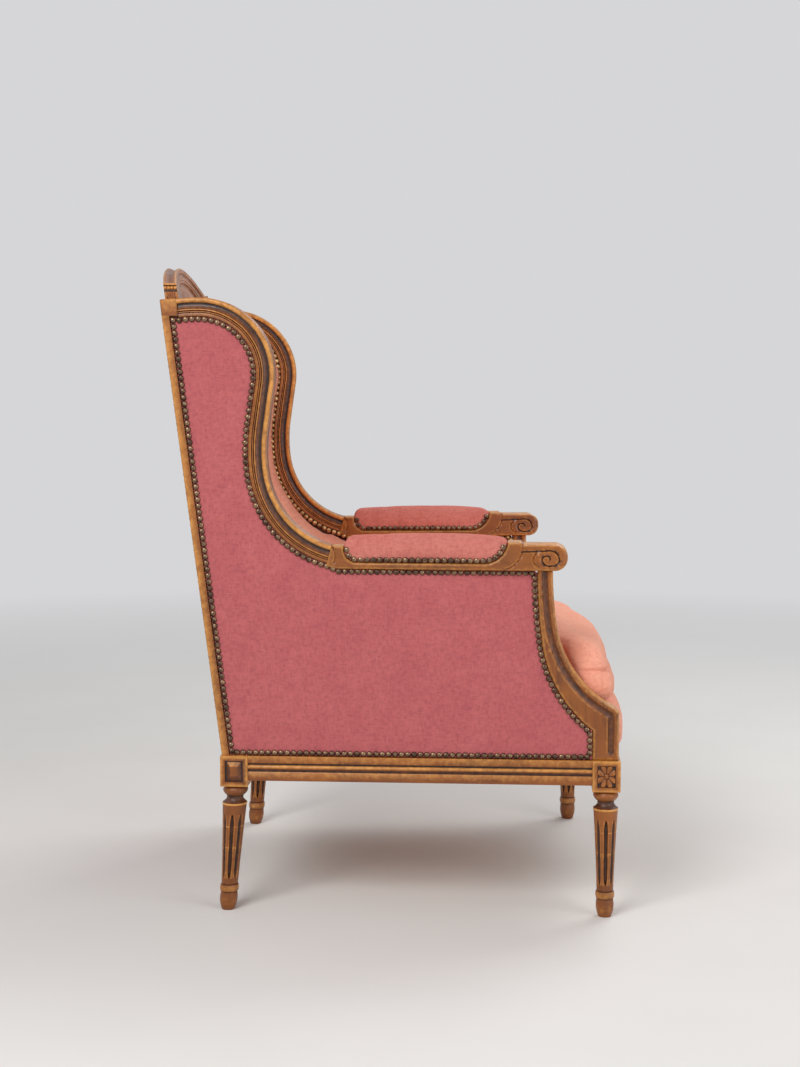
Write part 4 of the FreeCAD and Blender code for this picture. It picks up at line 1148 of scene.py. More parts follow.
@dataclass(frozen=True)
class TurnedLeg:
    """The turned and fluted leg below a block."""

    flutes: int = 8
    flute_half: float = 0.0034
    flute_depth: float = 0.0032
    flute_low: float = 0.054
    flute_high: float = 0.163
    flute_taper: float = 0.014
    sides: int = 160
    scratches: tuple[float, ...] = (0.1065, 0.1418)
    # the sixth value of each turning is its shade: the narrow grooves and the flare under the ring take
    # painted shade along with waxing, the ring a painted highlight along with rubbing
    turnings: tuple[Turning, ...] = (
        Turning(0.0, 0.0008, 0.0098, 0.0108, 0.0, HOLLOW, 1),
        Turning(0.0008, 0.0298, 0.0108, 0.0136, 0.0023, 0.42, 12),
        Turning(0.0302, 0.0310, 0.0128, 0.0128, 0.0, RECESS, 1),
        Turning(0.0313, 0.0428, 0.0146, 0.0146, 0.0010, 0.6, 8),
        Turning(0.0431, 0.0440, 0.0126, 0.0126, 0.0, RECESS, 1),
        Turning(0.0444, 0.1780, 0.0136, 0.0199, -0.0004, PLAIN, 90),
        Turning(0.1783, 0.1815, 0.0201, 0.0203, 0.0004, EDGE, 4),
        Turning(0.1817, 0.1925, 0.0199, 0.0137, -0.0024, 0.16, 10),
        Turning(0.1928, 0.1942, 0.0132, 0.0132, 0.0, RECESS, 1),
        Turning(0.1945, 0.2106, 0.0158, 0.0162, 0.0046, 0.34, 14),
        Turning(0.2106, 0.2140, 0.0150, 0.0150, 0.0, RECESS, 1),
    )

    def across_flute(self, angle: float, radius: float) -> float:
        """How far a point lies from the middle of the nearest flute."""
        pitch = 2 * pi / self.flutes
        return abs((angle + pitch / 2) % pitch - pitch / 2) * radius

    def flute(self, angle: float, z: float, radius: float) -> float:
        """How far into a flute a point lies.

        Args:
            angle: Its angle round the leg's axis.
            z: Its height.
            radius: The leg's radius there.

        Returns:
            0 outside a flute, up to 1 at its middle.
        """
        across = self.across_flute(angle, radius)
        end = min(z - self.flute_low, self.flute_high - z) / self.flute_taper
        half = self.flute_half * sqrt(min(max(end, 0.0), 1.0)) * (0.6 + 0.4 * radius / 0.0199)
        if half <= 0.0 or across >= half:
            return 0.0
        return sqrt(1.0 - (across / half) ** 2)

    def rows(self) -> list[Corner]:
        """Heights, radii and shades of the leg's rows."""
        rows = []
        for turning in self.turnings:
            for i in range(turning.rows + 1):
                share = i / turning.rows
                z = turning.low + (turning.high - turning.low) * share
                # painted highlight along with rubbing: a swelling turning is paler at its crown
                crown = 1.0 if turning.swell > 0 else 0.0
                worn_and_lit = turning.shade + 0.22 * crown * sin(pi * share)
                rows.append((z, turning.radius(share), worn_and_lit))
        return rows

    def shaft_shade(self, angle: float, z: float, radius: float, shade: float, inner: float) -> float:
        """The shade of a point of the leg, flutes and scratches counted.

        Args:
            angle: Its angle round the leg's axis.
            z: Its height.
            radius: The leg's radius there.
            shade: The shade of its turning.
            inner: How far into a flute it lies.

        Returns:
            The shade.
        """
        # painted shade along with waxing: a flute darkens toward its middle; painted highlight along with
        # rubbing: its lips are paler
        if inner > 0.0:
            return HOLLOW * (1.0 - inner)
        if any(abs(z - scratch) < 0.0007 for scratch in self.scratches):
            return EDGE
        beside_flute = self.across_flute(angle, radius) < self.flute_half * 1.5
        return WORN_AND_LIT - 0.1 if beside_flute and self.flute_low < z < self.flute_high else shade

    def skin(self, f: float, lean: float) -> Skin:
        """The leg's skin.

        Args:
            f: Where the leg's axis stands at its top.
            lean: How far the foot stands back from there.

        Returns:
            The skin, from the floor up into the block.
        """
        skin = Skin()
        rings = []
        for z, radius, shade in self.rows():
            back = lean * (1.0 - z / PLAN.block_bottom)
            points, shades = [], []
            for k in range(self.sides):
                angle = 2 * pi * k / self.sides
                inner = self.flute(angle, z, radius)
                reach = radius - self.flute_depth * inner
                points.append(PLAN.put(f - back + reach * cos(angle), z, reach * sin(angle)))
                shades.append(self.shaft_shade(angle, z, radius, shade, inner))
            rings.append(skin.ring(points, shades, z))
        skin.loft(rings)
        return skin


@dataclass(frozen=True)
class LegBlock:
    """The square block at a leg's head, with a carved square sunk in its outer face."""

    side: float = PLAN.block_side
    height: float = PLAN.block_top - PLAN.block_bottom
    bevel: float = 0.0014
    margin: float = 0.0078
    sink: float = 0.0030
    tile_cells: int = 56
    tile_edge: float = 0.985
    tile_rise: float = 0.98
    petals: int = 8
    eye: float = 0.24
    eye_dome: float = 0.26
    eye_rise: float = 0.95
    petal_foot: float = 0.28
    petal_tip: float = 0.95
    corner_reach: float = 1.16
    petal_width: float = 0.93
    petal_taper: Flat = (0.62, 0.24)
    petal_rise: Flat = (0.35, 0.6)
    panel_stretch: Flat = (1.12, 0.98)
    panel_foot: float = 0.86
    panel_slope: float = 0.42
    facet_shade: float = 0.22

    def rosette(self, u: float, v: float) -> tuple[float, float]:
        """Height above the sunk floor and shade of the eight-petalled rosette.

        Args:
            u: Place across the square, from -1 to 1.
            v: Place up the square, from -1 to 1.

        Returns:
            Height as a share of the sink, and the shade.
        """
        radius, angle = hypot(u, v), atan2(v, u)
        if radius < self.eye:
            return self.eye_rise * sqrt(1.0 - (radius / self.eye_dome) ** 2), PLAIN + 0.1
        turn = (angle / (2 * pi / self.petals)) % 1.0
        off = abs(turn - 0.5) * 2.0
        reach = 1.0 / max(abs(cos(angle)), abs(sin(angle)))
        tip = min(reach, self.corner_reach) * self.petal_tip
        length = (radius - self.petal_foot) / (tip - self.petal_foot)
        if not 0.0 < length < 1.0:
            return 0.0, RECESS
        spread, start = self.petal_taper
        half = self.petal_width * sqrt(max(0.0, sin(pi * min(length * spread + start, 1.0))))
        if off > half:
            return 0.0, RECESS
        low, gain = self.petal_rise
        # painted light along with rubbing and waxing: each petal pales with its height, and the sunk floor
        # round it takes painted shade
        height = sqrt(1.0 - (off / half) ** 2) * (low + gain * length)
        return height, HOLLOW + (WORN_AND_LIT - HOLLOW) * height

    def raised_panel(self, u: float, v: float) -> tuple[float, float]:
        """Height and shade of the raised panel with sloping sides and a flat middle.

        Args:
            u: Place across the square, from -1 to 1.
            v: Place up the square, from -1 to 1.

        Returns:
            Height as a share of the sink, and the shade.
        """
        across, up = self.panel_stretch
        height = min(1.0, (self.panel_foot - max(abs(u) * across, abs(v) * up)) / self.panel_slope)
        if height <= 0.0:
            return 0.0, RECESS
        # painted light: the upper slope takes the pale shade as if lit from above, and the other slopes the
        # darker facet shade as painted shade
        top_facet = v > abs(u)
        return height, (PLAIN + 0.05 if height >= 1.0 else (WORN_AND_LIT if top_facet else self.facet_shade))

    def tile(self, skin: Skin, carving: Carving, place: Place) -> None:
        """Adds the carved tile on the floor of a sunk square.

        Args:
            skin: The skin that takes it.
            carving: What it shows.
            place: Gives the chair's place of (u, v, depth below the block's face).
        """
        relief = self.rosette if carving is Carving.ROSETTE else self.raised_panel
        half_u = self.side / 2 - self.margin
        half_v = self.height / 2 - self.margin
        cells = self.tile_cells
        rows = []
        for i in range(cells + 1):
            v = -1.0 + 2.0 * i / cells
            points, shades = [], []
            for k in range(cells + 1):
                u = -1.0 + 2.0 * k / cells
                height, shade = relief(u, v)
                edge = max(abs(u), abs(v)) > self.tile_edge
                rise = 0.0 if edge else height * self.sink * self.tile_rise
                points.append(place(u * half_u, v * half_v, self.sink - rise))
                # painted shade: the tile's rim at the foot of the sunk square's walls is darkest
                shades.append(RECESS if edge else shade)
            rows.append(skin.ring(points, shades, v * half_v))
        for one, other in zip(rows, rows[1:]):
            skin.bridge(one, other, closed=False)

    def skin(self, f: float, side_carving: Carving, front_carving: Carving) -> Skin:
        """The block's skin with its carved squares.

        Args:
            f: Where the leg's axis stands.
            side_carving: What the outer face holds.
            front_carving: What the front face holds.

        Returns:
            The skin.
        """
        middle = PLAN.block_bottom + self.height / 2
        half = self.side / 2
        skin = Skin()
        bm = bmesh.new()
        bmesh.ops.create_cube(bm, size=1.0)
        bmesh.ops.scale(bm, vec=(self.side, self.side, self.height), verts=bm.verts)
        bmesh.ops.bevel(bm, geom=list(bm.edges), offset=self.bevel, segments=2, profile=0.6, affect="EDGES")
        faces = (
            (Vector((0, 1, 0)), side_carving, lambda u, v, d: PLAN.put(f + u, middle + v, half - d)),
            (Vector((1, 0, 0)), front_carving, lambda u, v, d: PLAN.put(f + half - d, middle + v, -u)),
        )
        carved = [one for one in faces if one[1] is not Carving.NONE]
        for normal, _, _ in carved:
            bm.normal_update()
            face = max(bm.faces, key=lambda one: one.calc_area() * (one.normal.dot(normal) > 0.99))
            steps = ({"thickness": self.margin - self.bevel}, {"thickness": 0.0004, "depth": -self.sink})
            for step in steps:
                bmesh.ops.inset_region(bm, faces=[face], use_even_offset=True, **step)
            bmesh.ops.delete(bm, geom=[face], context="FACES_ONLY")
        limit, top = half - 1.5 * self.bevel, self.height / 2 - 1.5 * self.bevel
        for x, y, z in (vert.co for vert in bm.verts):
            edges = sum((abs(x) > limit, abs(y) > limit, abs(z) > top))
            sunk = half - max(abs(x), abs(y)) > self.sink / 2
            skin.points.append(PLAN.put(f + x, middle + z, y))
            # painted shade in the walls of the sunk squares, and a painted highlight along with rubbing on
            # the block's corners
            skin.shades.append(RECESS if sunk and edges < 2 else (0.92 if edges >= 2 else PLAIN))
            skin.grains.append((z, x, y))
        bm.verts.index_update()
        skin.faces += [tuple(vert.index for vert in face.verts) for face in bm.faces]
        bm.free()
        for _, carving, place in carved:
            self.tile(skin, carving, place)
        return skin


@dataclass(frozen=True)
class Posts:
    """The four legs with their blocks, and the raked stiles above the rear ones."""

    leg: TurnedLeg = TurnedLeg()
    block: LegBlock = LegBlock()
    splay: float = 0.015
    edge: float = 0.0016
    lap: float = 0.004
    stations: int = 24
    # shade of each corner of the bedded stile: its rounded edges paled by rubbing and by a painted highlight,
    # the bed for the covers and the inner face darker as painted shade
    bed_shades: tuple = (0.4, 0.4, 0.5, 0.85, 0.9, 0.6, 0.7, 0.3, 0.3, 0.3)

    def stile_section(self, z: float, bedded: bool) -> list[Vector]:
        """The stile's outline at a height, as points of the chair.

        Args:
            z: The height.
            bedded: Whether it is cut back for the covers.

        Returns:
            The outline's ten corners.
        """
        rear, front = PLAN.stile_rear(z), PLAN.stile_front(z)
        half, c = PLAN.stile_width / 2, self.edge
        if bedded:
            strip = rear + PLAN.stile_strip
            bed = half - PLAN.stile_strip
            corners = [
                (rear + PLAN.cover, -half), (rear + PLAN.cover, bed), (rear, bed), (rear, half - c),
                (rear + c, half), (strip - c / 2, half), (strip, half - c / 2), (strip, PLAN.bed_half),
                (front, PLAN.bed_half), (front, -half),
            ]
        else:
            corners = [
                (rear, -half), (rear, -half / 3), (rear, half / 3), (rear, half - c),
                (rear + c, half), (rear + PLAN.stile_depth / 2, half), (front - c, half),
                (front, half - c), (front, 0.0), (front, -half),
            ]
        return [PLAN.put(f, z, w) for f, w in corners]

    def stile(self) -> Skin:
        """The stile's skin: bedded for the covers, with a plain block at its top."""
        skin = Skin()
        bed_top = PLAN.stile_top - PLAN.corner_drop
        low = PLAN.block_top - self.lap
        rings = []
        for i in range(self.stations + 1):
            z = low + (bed_top - low) * i / self.stations
            rings.append(skin.ring(self.stile_section(z, True), list(self.bed_shades), z))
        skin.loft(rings)
        top_slope = PLAN.stile_depth * tan(PLAN.rake)
        rings = []
        for z, inset in ((bed_top, 0.0), (PLAN.stile_top - self.edge, 0.0), (PLAN.stile_top, self.edge)):
            points = self.stile_section(z, False)
            centre = sum(points, Vector()) / len(points)
            depth = points[7] - points[0]
            ring = []
            for point in points:
                share = (point - points[0]).dot(depth) / depth.length_squared
                lifted = point + Vector((0, 0, top_slope * share * (z > bed_top)))
                toward = (centre - point)
                toward.z = 0.0
                ring.append(lifted + toward.normalized() * inset)
            # painted highlight along with rubbing: the rows at the stile's top are paler than those below
            rings.append(skin.ring(ring, [0.85 if z > bed_top + 0.01 else 0.55] * len(ring), z))
        skin.loft(rings)
        return skin

    def build(self) -> None:
        """Builds the legs, blocks and stiles of both sides."""
        fit_pair(self.leg.skin(0.0, 0.0), "front_leg_turning", CARVED, "front_leg")
        fit_pair(self.block.skin(0.0, Carving.ROSETTE, Carving.ROSETTE), "front_leg_block", CARVED)
        rear = -PLAN.side_run
        fit_pair(self.leg.skin(rear, self.splay), "rear_leg_turning", CARVED, "rear_post")
        fit_pair(self.block.skin(rear, Carving.RAISED_PANEL, Carving.NONE), "rear_leg_block", CARVED)
        fit_pair(self.stile(), "rear_stile", CARVED)


# mouldings


@dataclass(frozen=True)
class WingFrame:
    """The S-shaped wing frame: a bead at its free edge, a groove, a cove, two reeds and a band."""

    thickness: float = 0.034
    bead: float = 0.0082
    groove: float = 0.0030
    groove_depth: float = 0.0058
    cove: float = 0.0062
    reed: float = 0.0030
    thin_reed: float = 0.0020
    reed_gap: float = 0.0010
    band_level: float = 0.0032
    bed_width: float = 0.014
    step: float = 0.004

    def face_profile(self) -> list[Corner]:
        """Half of the section from the free edge inward, as (inward, outward, shade)."""
        face = self.thickness / 2
        band = face - self.band_level
        profile = [(0.0013, face * 0.12, 0.42), (0.0010, face * 0.34, 0.42), (0.0002, face * 0.5, 0.6)]
        radius = self.bead / 2
        for i in range(9):
            angle = pi - pi * i / 8
            # painted highlight along with rubbing: the bead is palest on its crown
            shade = 0.66 + 0.3 * sin(angle)
            profile.append((radius + radius * cos(angle), face - radius + radius * sin(angle), shade))
        profile = profile[:-1]
        lip = self.bead
        floor = face - self.groove_depth
        # painted shade along with waxing: the groove's floor is darkest, and the cove lightens as it rises
        profile += [(lip, face - radius * 0.7, 0.5), (lip + 0.0003, floor, RECESS)]
        start = lip + self.groove
        profile.append((start, floor, RECESS))
        for i in range(7):
            share = i / 6
            rise = (1 - cos(share * pi / 2)) * (self.groove_depth - self.band_level + 0.0004)
            profile.append((start + self.cove * share, floor + 0.0002 + rise, 0.06 + 0.22 * share))
        at = start + self.cove + 0.0003
        for width, peak in ((self.reed, 0.84), (self.thin_reed, 0.7)):
            radius = width / 2
            for i in range(7):
                angle = pi - pi * i / 6
                # painted highlight along with rubbing: each reed is pale on its crown and dark at its foot
                shade = 0.12 + (peak - 0.12) * sin(angle)
                across = at + radius + radius * cos(angle)
                profile.append((across, band - 0.0007 + radius * sin(angle), shade))
            at += width
            profile.append((at + self.reed_gap / 2, band - 0.0014, RECESS))
            at += self.reed_gap
        profile += [(at, band - 0.0002, 0.3), (at + 0.0006, band, 0.66)]
        profile += [(PLAN.wing_face - 0.0008, band, 0.56), (PLAN.wing_face, band - 0.0008, 0.7)]
        profile += [(PLAN.wing_face + out, PLAN.bed_half, 0.2) for out in (0.0, self.bed_width)]
        return profile

    def skin(self) -> Skin:
        """The frame's skin, swept along its free edge."""
        half = self.face_profile()
        section = half + [(n, -w, shade) for n, w, shade in reversed(half)]
        skin = Skin()
        rings = []
        for station in PLAN.wing_run().stations(self.step):
            points = []
            for n, w, _ in section:
                f, z = beside(station.point, station.heading, n)
                points.append(PLAN.put(f, z, w))
            rings.append(skin.ring(points, [shade for _, _, shade in section], station.along))
        skin.loft(rings)
        return skin

    def build(self) -> None:
        """Builds both wing frames."""
        fit_pair(self.skin(), "wing_moulding", CARVED, "wing_frame")


@dataclass(frozen=True)
class SeatRails:
    """The moulded seat rails: a flat, a round bead between two quirks, and a lower step."""

    thickness: float = 0.026
    drop: float = 0.041
    flat: float = 0.0115
    quirk: float = 0.0032
    quirk_depth: float = 0.0036
    bead: float = 0.008
    lower_step: float = 0.0012
    front_bow: float = 0.022
    stations: int = 48

    def profile(self) -> list[Corner]:
        """The rail's section as (outward from its face, z, shade), from the nailing strip down."""
        z = PLAN.block_top
        strip = PLAN.bed_half - PLAN.rail_outer
        bead_top = z - self.flat - self.quirk
        lower = bead_top - self.bead - self.quirk
        bottom = z - self.drop
        steps = [(-self.thickness, z + PLAN.nailing_strip, 0.3), (strip, z + PLAN.nailing_strip, 0.3)]
        steps += [(strip, z, 0.3), (-0.001, z, 0.85), (0.0, z - 0.001, 0.8)]
        steps.append((0.0, z - self.flat + 0.0008, 0.6))
        # painted shade along with waxing in the quirks beside the bead
        steps += [(-0.0008, z - self.flat, 0.7), (-self.quirk_depth, z - self.flat, RECESS)]
        steps.append((-self.quirk_depth, bead_top, RECESS))
        radius = self.bead / 2
        for i in range(11):
            angle = pi / 2 - pi * i / 10
            # painted light: the bead is palest where it faces up and out and darkens toward its underside, as
            # light from above falls on it
            shade = 0.2 + 0.75 * max(0.0, cos(angle - 0.6))
            out = -self.quirk_depth + self.quirk_depth * cos(angle)
            steps.append((out, bead_top - radius + radius * sin(angle), shade))
        steps += [(-self.quirk_depth, lower, RECESS), (-self.lower_step - 0.0006, lower, 0.75)]
        steps += [(-self.lower_step, lower - 0.0008, 0.8), (-self.lower_step, bottom + 0.001, 0.5)]
        steps += [(-self.lower_step - 0.001, bottom, 0.8), (-self.thickness, bottom, 0.3)]
        return steps

    def swept(self, place: Place, start: float, end: float) -> Skin:
        """Sweeps the rail's section along its length.

        Args:
            place: Gives the chair's place of (distance along, distance out, z).
            start: Where the length starts.
            end: Where it ends.

        Returns:
            The rail's skin.
        """
        skin = Skin()
        section = self.profile()
        rings = []
        for i in range(self.stations + 1):
            along = start + (end - start) * i / self.stations
            points = [place(along, out, z) for out, z, _ in section]
            rings.append(skin.ring(points, [shade for _, _, shade in section], along))
        skin.loft(rings)
        return skin

    def side(self) -> Skin:
        """A side rail between its blocks."""
        rear, front = -PLAN.side_run + PLAN.block_side / 2, -PLAN.block_side / 2
        return self.swept(lambda f, out, z: PLAN.put(f, z, PLAN.rail_outer + out), rear, front)

    def bow(self) -> Corner:
        """Radius, axis place and half angle of the front rail's bow."""
        half = PLAN.front_half - PLAN.block_side / 2
        radius = (half * half + self.front_bow ** 2) / (2 * self.front_bow)
        face_y = -(PLAN.block_side / 2 - PLAN.rail_inset) - PLAN.origin
        centre_y = face_y - self.front_bow + radius
        return radius, centre_y, asin(half / radius)

    def front(self) -> Skin:
        """The bowed front rail."""
        radius, centre_y, reach = self.bow()

        def place(along: float, out: float, z: float) -> Vector:
            """A point of the rail at an arc's length from its middle."""
            angle, arm = along / radius, radius + out
            return Vector((arm * sin(angle), centre_y - arm * cos(angle), z))

        return self.swept(place, -reach * radius, reach * radius)

    def build(self) -> None:
        """Builds the side and front rails."""
        fit_pair(self.side(), "side_rail_moulding", CARVED, "side_rail")
        piece = self.front().build("front_rail_moulding", CARVED)
        fit(piece, CARVED, FRAME_BODY, "front_rail")


@dataclass(frozen=True)
class ArmSupport:
    """The arm support that sweeps down to the front block, with a cove beside its front edge."""

    thickness: float = 0.034
    face: float = 0.0197
    nose_drop: float = 0.0072
    cove_inset: float = 0.0132
    cove_half: float = 0.0052
    cove_depth: float = 0.0034
    stop_rise: float = 0.013
    step: float = 0.002

    def outline(self) -> list[Flat]:
        """The support's outline from the armrest down its front and up its rear."""
        front = PLAN.support_front().points(self.step)
        nose = (self.face, front[-1][1] - self.nose_drop)
        foot = -PLAN.block_side / 2
        rear = list(reversed(PLAN.support_rear().points(self.step)))
        closing = path_through(
            [front[-1], nose, (self.face, PLAN.block_top), (foot, PLAN.block_top), rear[0]], self.step
        )
        top = path_through([rear[-1], front[0]], self.step)
        return front[:-1] + closing[:-1] + rear[:-1] + top[:-1]

    def cove(self) -> Groove:
        """The cove that follows the front edge and turns down to a rounded stop."""
        line = PLAN.support_front().points(self.step, self.cove_inset)
        heading = PLAN.support_front().heading
        corner_f = self.face - self.cove_inset
        corner = (corner_f, line[-1][1] + (corner_f - line[-1][0]) * tan(heading))
        stop = (corner_f, PLAN.block_top + self.stop_rise)
        line = line[:-1] + path_through([line[-1], corner, stop], self.step)
        return Groove(tuple(line), self.cove_half, self.cove_depth, floor_shade=0.17)

    def build(self) -> None:
        """Builds both arm supports."""
        half = self.thickness / 2
        plate = CarvedPlate(tuple(self.outline()), (self.cove(),), 0.0042)
        skin = plate.solid(
            lambda f, z, d: PLAN.put(f, z, half - d), lambda f, z, d: PLAN.put(f, z, -half + d), upright=True
        )
        fit_pair(skin, "arm_support_carved", CARVED, "arm_support")


@dataclass(frozen=True)
class Armrest:
    """The armrest with its two collars, the hollow for the pad, and the scrolled end."""

    half_width: float = 0.027
    rear_half_width: float = 0.018
    band: float = PLAN.arm_band
    rear_collar: float = 0.0195
    front_collar: float = 0.021
    collar_front: float = -0.1403
    collar_rise: float = 0.003
    rear_curve: float = 0.021
    front_curve: float = 0.037
    line_half: float = 0.0014
    line_depth: float = 0.0024
    step: float = 0.0022
    scroll: tuple = (
        (-0.1391, 0.6012), (-0.0990, 0.6032), ((-0.0836, 0.5992), (-0.0787, 0.5896)),
        ((-0.0826, 0.5818), (-0.0915, 0.5793)), ((-0.1036, 0.5825), (-0.1070, 0.5886)),
        ((-0.1048, 0.5930), (-0.0985, 0.5948)), ((-0.0946, 0.5932), (-0.0938, 0.5903)),
    )
    front_line: tuple = ((-0.1381, 0.6142), ((-0.1425, 0.5905), (-0.166, 0.5728)))
    rear_line: tuple = ((-0.4457, 0.6080), ((-0.4402, 0.5960), (-0.4432, 0.5800)))
    side_arc: tuple = ((-0.1125, 0.6005), ((-0.1208, 0.5892), (-0.1122, 0.5776)))

    def seat(self) -> list[tuple]:
        """The hollow between the collars that the pad fills, as path steps from the rear."""
        bend = 1 - sqrt(0.5)
        band_top = PLAN.arm_underside + self.band
        rear = PLAN.collar_rear + self.rear_collar
        front = self.collar_front - self.front_collar
        lip = PLAN.collar_rear_top - self.rear_curve / 3
        top = PLAN.arm_top + self.collar_rise
        rear_bend = (rear + bend * self.rear_curve, band_top + bend * (lip - band_top))
        front_bend = (front - 0.40 * self.front_curve, band_top + 0.24 * (top - band_top))
        return [
            (rear, lip), (rear_bend, (rear + self.rear_curve, band_top)),
            (front - self.front_curve, band_top), (front_bend, (front, top)),
        ]

    def outline(self) -> list[Flat]:
        """The armrest seen from the side."""
        joint = PLAN.wing_run()
        foot = beside(joint.point, joint.heading, PLAN.wing_face + self.band / 2)
        scroll = PLAN.arm_front - PLAN.scroll_radius
        start = (PLAN.collar_rear, PLAN.collar_rear_top)
        steps = [start, (PLAN.collar_rear + self.rear_collar, PLAN.collar_rear_top), *self.seat()]
        steps += [(self.collar_front, PLAN.arm_top + self.collar_rise)]
        steps += [(self.collar_front + self.collar_rise, PLAN.arm_top), (scroll, PLAN.arm_top)]
        tip = (PLAN.arm_front, PLAN.arm_underside + PLAN.scroll_radius)
        steps += [(tip, (scroll, PLAN.arm_underside)), (foot[0] + 2 * self.band, PLAN.arm_underside)]
        steps += [foot, start]
        return path_through(steps, self.step)[:-1][::-1]

    def half_at(self, f: float) -> float:
        """Half the armrest's width at a forward place.

        Args:
            f: The forward place.

        Returns:
            The half width, which shrinks to a round nose at the front.
        """
        rear, front = PLAN.collar_rear + self.rear_collar, self.collar_front - self.front_collar
        share = min(max((f - rear) / (front - rear), 0.0), 1.0)
        half = self.rear_half_width + (self.half_width - self.rear_half_width) * share
        nose = max(0.0, f - (PLAN.arm_front - self.half_width / 3)) / (self.half_width / 3)
        return half - (1 - sqrt(max(0.0, 1 - min(nose, 1.0) ** 2))) * self.half_width / 3

    def carved_lines(self) -> tuple[Groove, ...]:
        """The collar lines, the arc beside the scroll, and the scroll that winds into its eye."""
        lines = (self.front_line, self.rear_line, self.side_arc, self.scroll)
        cuts = [tuple(path_through(line, self.step)) for line in lines]
        return tuple(Groove(line, self.line_half, self.line_depth, Cut.VEE) for line in cuts)

    def build(self) -> None:
        """Builds both armrests."""
        plate = CarvedPlate(tuple(self.outline()), self.carved_lines(), 0.0032, 0.0019)
        skin = plate.solid(
            lambda f, z, d: PLAN.put(f, z, self.half_at(f) - d),
            lambda f, z, d: PLAN.put(f, z, -self.half_at(f) + d),
        )
        fit_pair(skin, "armrest_carved", CARVED, "armrest")


